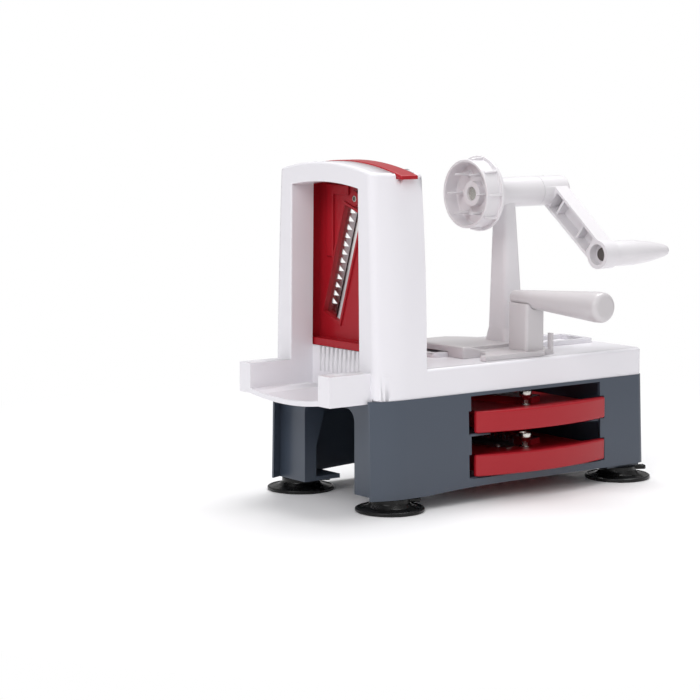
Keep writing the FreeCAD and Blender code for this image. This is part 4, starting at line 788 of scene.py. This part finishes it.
@dataclass
class Crank:
    """The turning parts: pronged crown, shaft, arm, pins and the knob."""

    axis_height: float = 211
    crown_front: float = 2
    crown_rear: float = 16.7
    cup_radius: float = 24.8
    flange_radius: float = 27.3
    ribs: int = 9
    prongs: int = 6
    prong_circle: float = 16
    arm_length: float = 71.6
    arm_turn: float = 38
    knob_root: float = 92.3
    knob_end: float = 149.5
    knob_bore: float = 3.05
    knob_bore_end: float = 134.3
    shaft_span: tuple[float, float] = (9.5, 90)
    shaft_radius: float = 5
    shaft_gap: float = 0.05
    hub_radius: float = 9
    cross_pins: tuple[tuple[float, float], ...] = ((12.5, 8.5), (76, 10))
    cross_pin_radius: float = 1.5

    def tip(self) -> Point:
        """Return the knob's axis at x = 0."""
        turn = math.radians(self.arm_turn)
        return (0, -self.arm_length * math.cos(turn),
                self.axis_height - self.arm_length * math.sin(turn))

    def crown(self) -> bpy.types.Mesh:
        """Return the food holder: a cup with a rear flange, outer ribs and inner prongs."""
        front, rear, cup = self.crown_front, self.crown_rear, self.cup_radius
        disc, hub, bore = rear - 3, self.hub_radius, self.shaft_radius + self.shaft_gap
        shell = turned(rounded_line([
            (9.2, bore), (8, bore), (8, hub, 0.5), (disc, hub, 0.8), (disc, cup - 2, 1.2),
            (front, cup - 2, 0.6), (front, cup, 0.7), (rear - 2.5, cup, 0.5),
            (rear - 2.5, self.flange_radius, 0.6), (rear, self.flange_radius, 0.6),
            (rear, bore)], 5), Axis.X, (0, 0, self.axis_height), 144)
        fin = bevelled(moved(prism([(4, cup - 1), (4, cup + 0.8), (6.5, cup + 1.6),
                                    (rear - 1.5, self.flange_radius - 0.3),
                                    (rear - 1.5, cup - 1)], -0.9, 0.9),
                             Matrix.Rotation(math.pi / 2, 4, "X")), 0.35, 2)
        fins = Repeat(Repeat.Layout.RING).make(
            moved(fin, Matrix.Rotation(math.pi / 2, 4, "X")), Finish.CRANK,
            count=self.ribs, axis=(1, 0, 0))
        spike = turned(rounded_line([
            (-1, 0), (-1, 0.5, 0.4), (disc - 1.2, 1.7, 1), (disc - 0.4, 2.6, 0.6),
            (disc + 0.5, 2.6), (disc + 0.5, 0)], 4), Axis.X, (0, self.prong_circle, 0), 24)
        spikes = Repeat(Repeat.Layout.RING).make(spike, Finish.CRANK, count=self.prongs,
                                                 axis=(1, 0, 0))
        rise = Matrix.Translation((0, 0, self.axis_height))
        return joined(shell, moved(fins, rise), moved(spikes, rise))

    def knob(self) -> bpy.types.Mesh:
        """Return the knob: a barrel that tapers to a blunt nose, hollow round its pin."""
        root, end, bore = self.knob_root, self.knob_end, self.knob_bore
        profile = rounded_line([
            (root, bore), (root, 8.4, 0.8), (root + 1.2, 8.9, 0.8), (root + 8, 9.25, 30),
            (114, 9.3, 40), (131, 7.6, 60), (end - 3, 4.6, 2.5), (end, 3.4, 1.6), (end, 0)], 10)
        inside = [(root, bore), (self.knob_bore_end, bore), (self.knob_bore_end, 0)]
        return turned(list(reversed(profile)) + inside, Axis.X, self.tip(), 96)

    def build(self) -> None:
        """Build the crank's pieces."""
        piece("pronged_crown", self.crown(), Finish.CRANK, "crank", ["food_holder"])
        piece("arm_shell", softened("crank_arm", 0.5), Finish.CRANK, "crank",
              ["crank_arm"])
        shaft = plain_pin(*self.shaft_span, self.shaft_radius, 0.5)
        piece("drive_shaft", turned(shaft, Axis.X, (0, 0, self.axis_height)), Finish.TURNED,
              "crank", ["crank_shaft"])
        pins = []
        for line, half in self.cross_pins:
            profile = plain_pin(-half, half, self.cross_pin_radius, 0.3)
            pins.append(turned(profile, Axis.Z, (line, 0, self.axis_height), 32))
        piece("cross_pins", joined(*pins), Finish.PIN, "crank", ["shaft_pins"])
        pin = rounded_line([(83.5, 0), (83.5, 4.2, 0.9), (85.4, 5, 0.3), (85.5, 5), (85.5, 3, 0.2),
                            (134, 3, 0.5), (134, 0)], 3)
        piece("knob_axle", turned(pin, Axis.X, self.tip(), 48), Finish.PIN, "crank", ["knob_pin"])
        piece("turning_knob", self.knob(), Finish.CRANK, "knob", ["crank_knob"])


class Site(Enum):
    """Where an insert stands, as the place of its own frame."""

    FRONT = Matrix(((0, 0, 1, -105), (1, 0, 0, 0), (0, 1, 0, 211), (0, 0, 0, 1)))
    UPPER = Matrix(((-1, 0, 0, 20.1), (0, -1, 0, -47), (0, 0, 1, 48.8), (0, 0, 0, 1)))
    LOWER = Matrix(((-1, 0, 0, 20.1), (0, -1, 0, -47), (0, 0, 1, 18.2), (0, 0, 0, 1)))


@dataclass
class Insert:
    """One red insert: frame, slicing blade, comb, corer and screws."""

    site: Site
    body: str
    teeth: int
    panel_front: float = 9.8
    panel_back: float = 12.8
    rib_rise: float = 1.6
    rib_leg: tuple[float, float, float] = (34.6, 26.8, -42)
    rib_arm: tuple[float, float, float] = (2, 9, 9)
    seat: float = 16.8
    blade: float = 0.8
    strip_turn: float = 18.3
    strip_spot: tuple[float, float] = (-2.5, -3.8)
    strip_length: float = 87
    comb_start: float = 6
    comb_end: float = 81
    comb_near: float = 3.6
    comb_far: float = 19
    comb_seat: float = 3
    comb_wall: float = 3.5
    tooth_rise: float = 4.5
    tooth_grind: float = 0.14
    window_half: float = 0.345
    window_span: tuple[float, float] = (5.6, 12)
    blade_span: tuple[float, float] = (-3, 90)
    blade_width: float = 17
    blade_grind: float = 3.6
    screw_inset: float = 12
    blade_screws: float = -13

    def strip(self) -> Matrix:
        """Return the place of the slanted strip: its X runs forward, its Y across."""
        turn = math.radians(self.strip_turn)
        across, up = self.strip_spot
        return Matrix(((math.sin(turn), math.cos(turn), 0, across),
                       (-math.cos(turn), math.sin(turn), 0, up), (0, 0, 1, 0), (0, 0, 0, 1)))

    def rib(self) -> bpy.types.Mesh:
        """Return the bent rib on the window side of the panel."""
        (outer, inner, low), (under, top, end) = self.rib_leg, self.rib_arm
        outline = [(outer, low), (outer, top), (end, top), (end, under), (inner, under), (inner, low)]
        return bevelled(prism(outline, self.panel_front - self.rib_rise, self.panel_front + 0.2),
                        0.6)

    def slicing_blade(self) -> bpy.types.Mesh:
        """Return the slicing blade, ground to an edge along the slot."""
        low, high = self.seat, self.seat + self.blade
        section = [(-self.blade_width, low), (-1, low), (0, low + 0.12),
                   (-self.blade_grind, high), (-self.blade_width, high)]
        shape = bmesh.new()
        ends = []
        for forward in self.blade_span:
            ends.append([shape.verts.new((forward, across, up)) for across, up in section])
        shape.faces.new(ends[0])
        shape.faces.new(ends[1])
        for k in range(len(section)):
            after = (k + 1) % len(section)
            shape.faces.new((ends[0][k], ends[0][after], ends[1][after], ends[1][k]))
        bmesh.ops.recalc_face_normals(shape, faces=shape.faces)
        return as_mesh(shape, self.strip())

    def comb(self) -> bpy.types.Mesh:
        """Return the comb: a plate with a row of windows and a low wall with ground teeth."""
        base, wall = self.panel_back, self.panel_back + self.comb_wall
        start, end, near, far = self.comb_start, self.comb_end, self.comb_near, self.comb_far
        pitch = (end - start) / self.teeth
        row = Repeat(Repeat.Layout.ROW)
        half = self.window_half * pitch
        point, foot = self.window_span
        window = prism([(-half, foot), (0, point), (half, foot)], base - 1, base + self.blade + 1)
        windows = row.make(window, Finish.BLADE, count=self.teeth, step=(pitch, 0, 0))
        windows.transform(Matrix.Translation((start + pitch / 2, 0, 0)))
        low, high = start - self.comb_seat, self.strip_length + self.comb_seat
        plate = carved(prism([(low, near), (high, near), (high, far), (low, far)], base,
                             base + self.blade), windows)
        back = prism([(start, near), (high, near), (high, near + self.blade),
                      (start, near + self.blade)], base, wall)
        tooth = bmesh.new()
        lines = []
        root, top = wall - 0.2, wall + self.tooth_rise
        for forward, up in ((0, root), (pitch, root), (pitch * 0.5, top)):
            edge = self.tooth_grind if up > wall else 0
            lines.append([tooth.verts.new((forward, across, up))
                          for across in (near + edge, near + self.blade - edge)])
        tooth.faces.new([line[0] for line in lines])
        tooth.faces.new([line[1] for line in lines])
        for k in range(3):
            after = (k + 1) % 3
            tooth.faces.new((lines[k][0], lines[after][0], lines[after][1], lines[k][1]))
        bmesh.ops.recalc_face_normals(tooth, faces=tooth.faces)
        teeth = row.make(as_mesh(tooth), Finish.BLADE, count=self.teeth, step=(pitch, 0, 0))
        teeth.transform(Matrix.Translation((start, 0, 0)))
        return moved(joined(plate, back, teeth), self.strip())

    def corer(self) -> bpy.types.Mesh:
        """Return the corer: a hollow stem with a flange that widens to a sharpened cup."""
        profile = rounded_line([
            (6.8, 1.4), (6.8, 2.2, 0.2), (12.8, 2.2), (12.82, 3.4, 0.2), (13.6, 3.4, 0.3),
            (13.6, 2.2, 0.3), (16.4, 2.2, 2), (19.9, 4.55, 1.6), (22.7, 4.6), (23.3, 4.35),
            (23.3, 4.05), (19.6, 3.3, 1), (17.15, 1.4, 0.8)], 4)
        return turned(profile, Axis.Z, (0, 0, 0), 64)

    def screws(self) -> bpy.types.Mesh:
        """Return the blade screws."""
        lines = (self.screw_inset, self.strip_length - self.screw_inset)
        spots = [(forward, self.blade_screws, self.seat + self.blade) for forward in lines]
        if self.teeth:
            spots += [(forward, self.comb_far - 2, self.panel_back + self.blade)
                      for forward in lines]
        placed = [tuple(self.strip() @ Vector(spot)) for spot in spots]
        screw = Fasteners(head_radius=2, head=1.4, shank_radius=1.1, length=3.6).part()
        return Repeat(Repeat.Layout.SPOTS).make(screw, Finish.SCREW, placed, seed=len(self.body))

    def build(self) -> None:
        """Build the insert's pieces at its site."""
        name = "insert_" + self.site.name.lower()
        place = self.site.value
        shell = joined(softened(name + "_frame", 0.5), moved(self.rib(), place))
        piece(name + "_shell", shell, Finish.INSERT, self.body, [name + "_frame"])
        piece(name + "_slicer", moved(self.slicing_blade(), place), Finish.BLADE, self.body,
              [name + "_blade"])
        if self.teeth:
            piece(name + "_teeth", moved(self.comb(), place), Finish.BLADE, self.body,
                  [name + "_comb"])
        piece(name + "_core_tube", moved(self.corer(), place), Finish.TURNED, self.body,
              [name + "_corer"])
        piece(name + "_fasteners", moved(self.screws(), place), Finish.SCREW, self.body,
              [name + "_screws"])


# Studio

@dataclass(frozen=True)
class Lamp:
    """A square lamp: where it hangs and its side in millimetres, and its power in watts."""

    name: str
    spot: Point
    size: float
    power: float


@dataclass
class Studio:
    """A white floor, soft lamps and the camera at the photograph's viewpoint."""

    camera_at: Point = (-1060.5, -1267.9, 302.9)
    azimuth: float = -37.143
    elevation: float = 7.011
    lens: float = 117.87
    sensor: float = 36
    shift: tuple[float, float] = (-0.0028, -0.0039)
    sight: float = 50000
    floor_size: float = 6000
    paper: Colour = (0.93, 0.925, 0.935)
    fade: tuple[float, float] = (0.22, 0.5)
    aim: Point = (0, 0, 110)
    room_light: float = 0.40
    lamps: tuple[Lamp, ...] = (
        Lamp("key", (-1250, -600, 1100), 900, 12),
        Lamp("fill", (-100, -1700, 900), 1100, 4),
        Lamp("top", (350, 250, 1500), 1000, 20),
    )

    def make_camera(self) -> None:
        """Create the scene's camera."""
        data = bpy.data.cameras.new("camera")
        data.sensor_width = self.sensor
        data.lens = self.lens
        data.shift_x, data.shift_y = self.shift
        data.clip_end = self.sight * MM
        camera = bpy.data.objects.new("camera", data)
        camera.location = Vector(self.camera_at) * MM
        turn, rise = math.radians(self.azimuth), math.radians(self.elevation)
        back = Vector((math.sin(turn) * math.cos(rise), -math.cos(turn) * math.cos(rise),
                       math.sin(rise)))
        camera.rotation_euler = (-back).to_track_quat("-Z", "Y").to_euler()
        bpy.context.scene.collection.objects.link(camera)
        bpy.context.scene.camera = camera

    @staticmethod
    def seen(graph: Graph) -> Wire:
        """Return 1 for rays that show the background itself."""
        return graph.node("ShaderNodeLightPath", output="Is Camera Ray")

    def make_floor(self) -> None:
        """Lay the floor: paper near the slicer that fades to plain white further off."""
        half = self.floor_size / 2 * MM
        mesh = bpy.data.meshes.new("floor")
        mesh.from_pydata([(-half, -half, 0), (half, -half, 0), (half, half, 0), (-half, half, 0)],
                         [], [(0, 1, 2, 3)])
        graph = SurfaceGraph("floor_paper")
        graph.finish({"Base Color": tinted(self.paper), "Roughness": 0.5})
        near, far_off = self.fade
        far = graph.ramp(graph.node("ShaderNodeVectorMath", {"operation": "LENGTH"},
                                    {0: graph.place((0.9, 0.9, 0.9))}, "Value"),
                         ((near, 0.0), (far_off, 1.0)))
        glow = graph.node("ShaderNodeEmission", {}, {"Color": (1, 1, 1, 1), "Strength": 1.0})
        mixed = graph.node("ShaderNodeMixShader", {}, {0: far * self.seen(graph)})
        node = mixed.socket.node
        graph.tree.links.new(graph.shader.outputs[0], node.inputs[1])
        graph.tree.links.new(glow.socket, node.inputs[2])
        graph.tree.links.new(mixed.socket, graph.tree.nodes["Material Output"].inputs[0])
        mesh.materials.append(graph.material)
        floor = bpy.data.objects.new("floor", mesh)
        bpy.context.scene.collection.objects.link(floor)

    def make_lamp(self, lamp: Lamp) -> None:
        """Hang a lamp that looks at the slicer.

        Args:
            lamp: the lamp's sizes and power.
        """
        data = bpy.data.lights.new(lamp.name, "AREA")
        data.size = lamp.size * MM
        data.energy = lamp.power
        hung = bpy.data.objects.new(lamp.name, data)
        hung.location = Vector(lamp.spot) * MM
        way = Vector(self.aim) * MM - hung.location
        hung.rotation_euler = way.to_track_quat("-Z", "Y").to_euler()
        bpy.context.scene.collection.objects.link(hung)

    def make_world(self) -> None:
        """Fill the room with even light, white where it is seen."""
        world = bpy.data.worlds.new("room")
        world.use_nodes = True
        graph = Graph(world.node_tree)
        strength = self.seen(graph) * (1 - self.room_light) + self.room_light
        background = world.node_tree.nodes["Background"]
        background.inputs["Color"].default_value = (1, 1, 1, 1)
        graph.tree.links.new(strength.socket, background.inputs["Strength"])
        bpy.context.scene.world = world

    def build(self) -> None:
        """Set up the whole studio."""
        self.make_camera()
        self.make_floor()
        for lamp in self.lamps:
            self.make_lamp(lamp)
        self.make_world()
        bpy.context.scene.view_settings.view_transform = "Standard"


def main() -> None:
    """Build every sub-assembly and the studio."""
    logging.basicConfig(level=logging.INFO, format="%(message)s")
    assemblies = [
        Housing(), Cover(), Carriage(), Crank(),
        Insert(Site.FRONT, "installed_insert", 12),
        Insert(Site.UPPER, "upper_insert", 0),
        Insert(Site.LOWER, "lower_insert", 24),
    ]
    for assembly in assemblies:
        assembly.build()
    Studio().build()


if __name__ == "__main__":
    main()
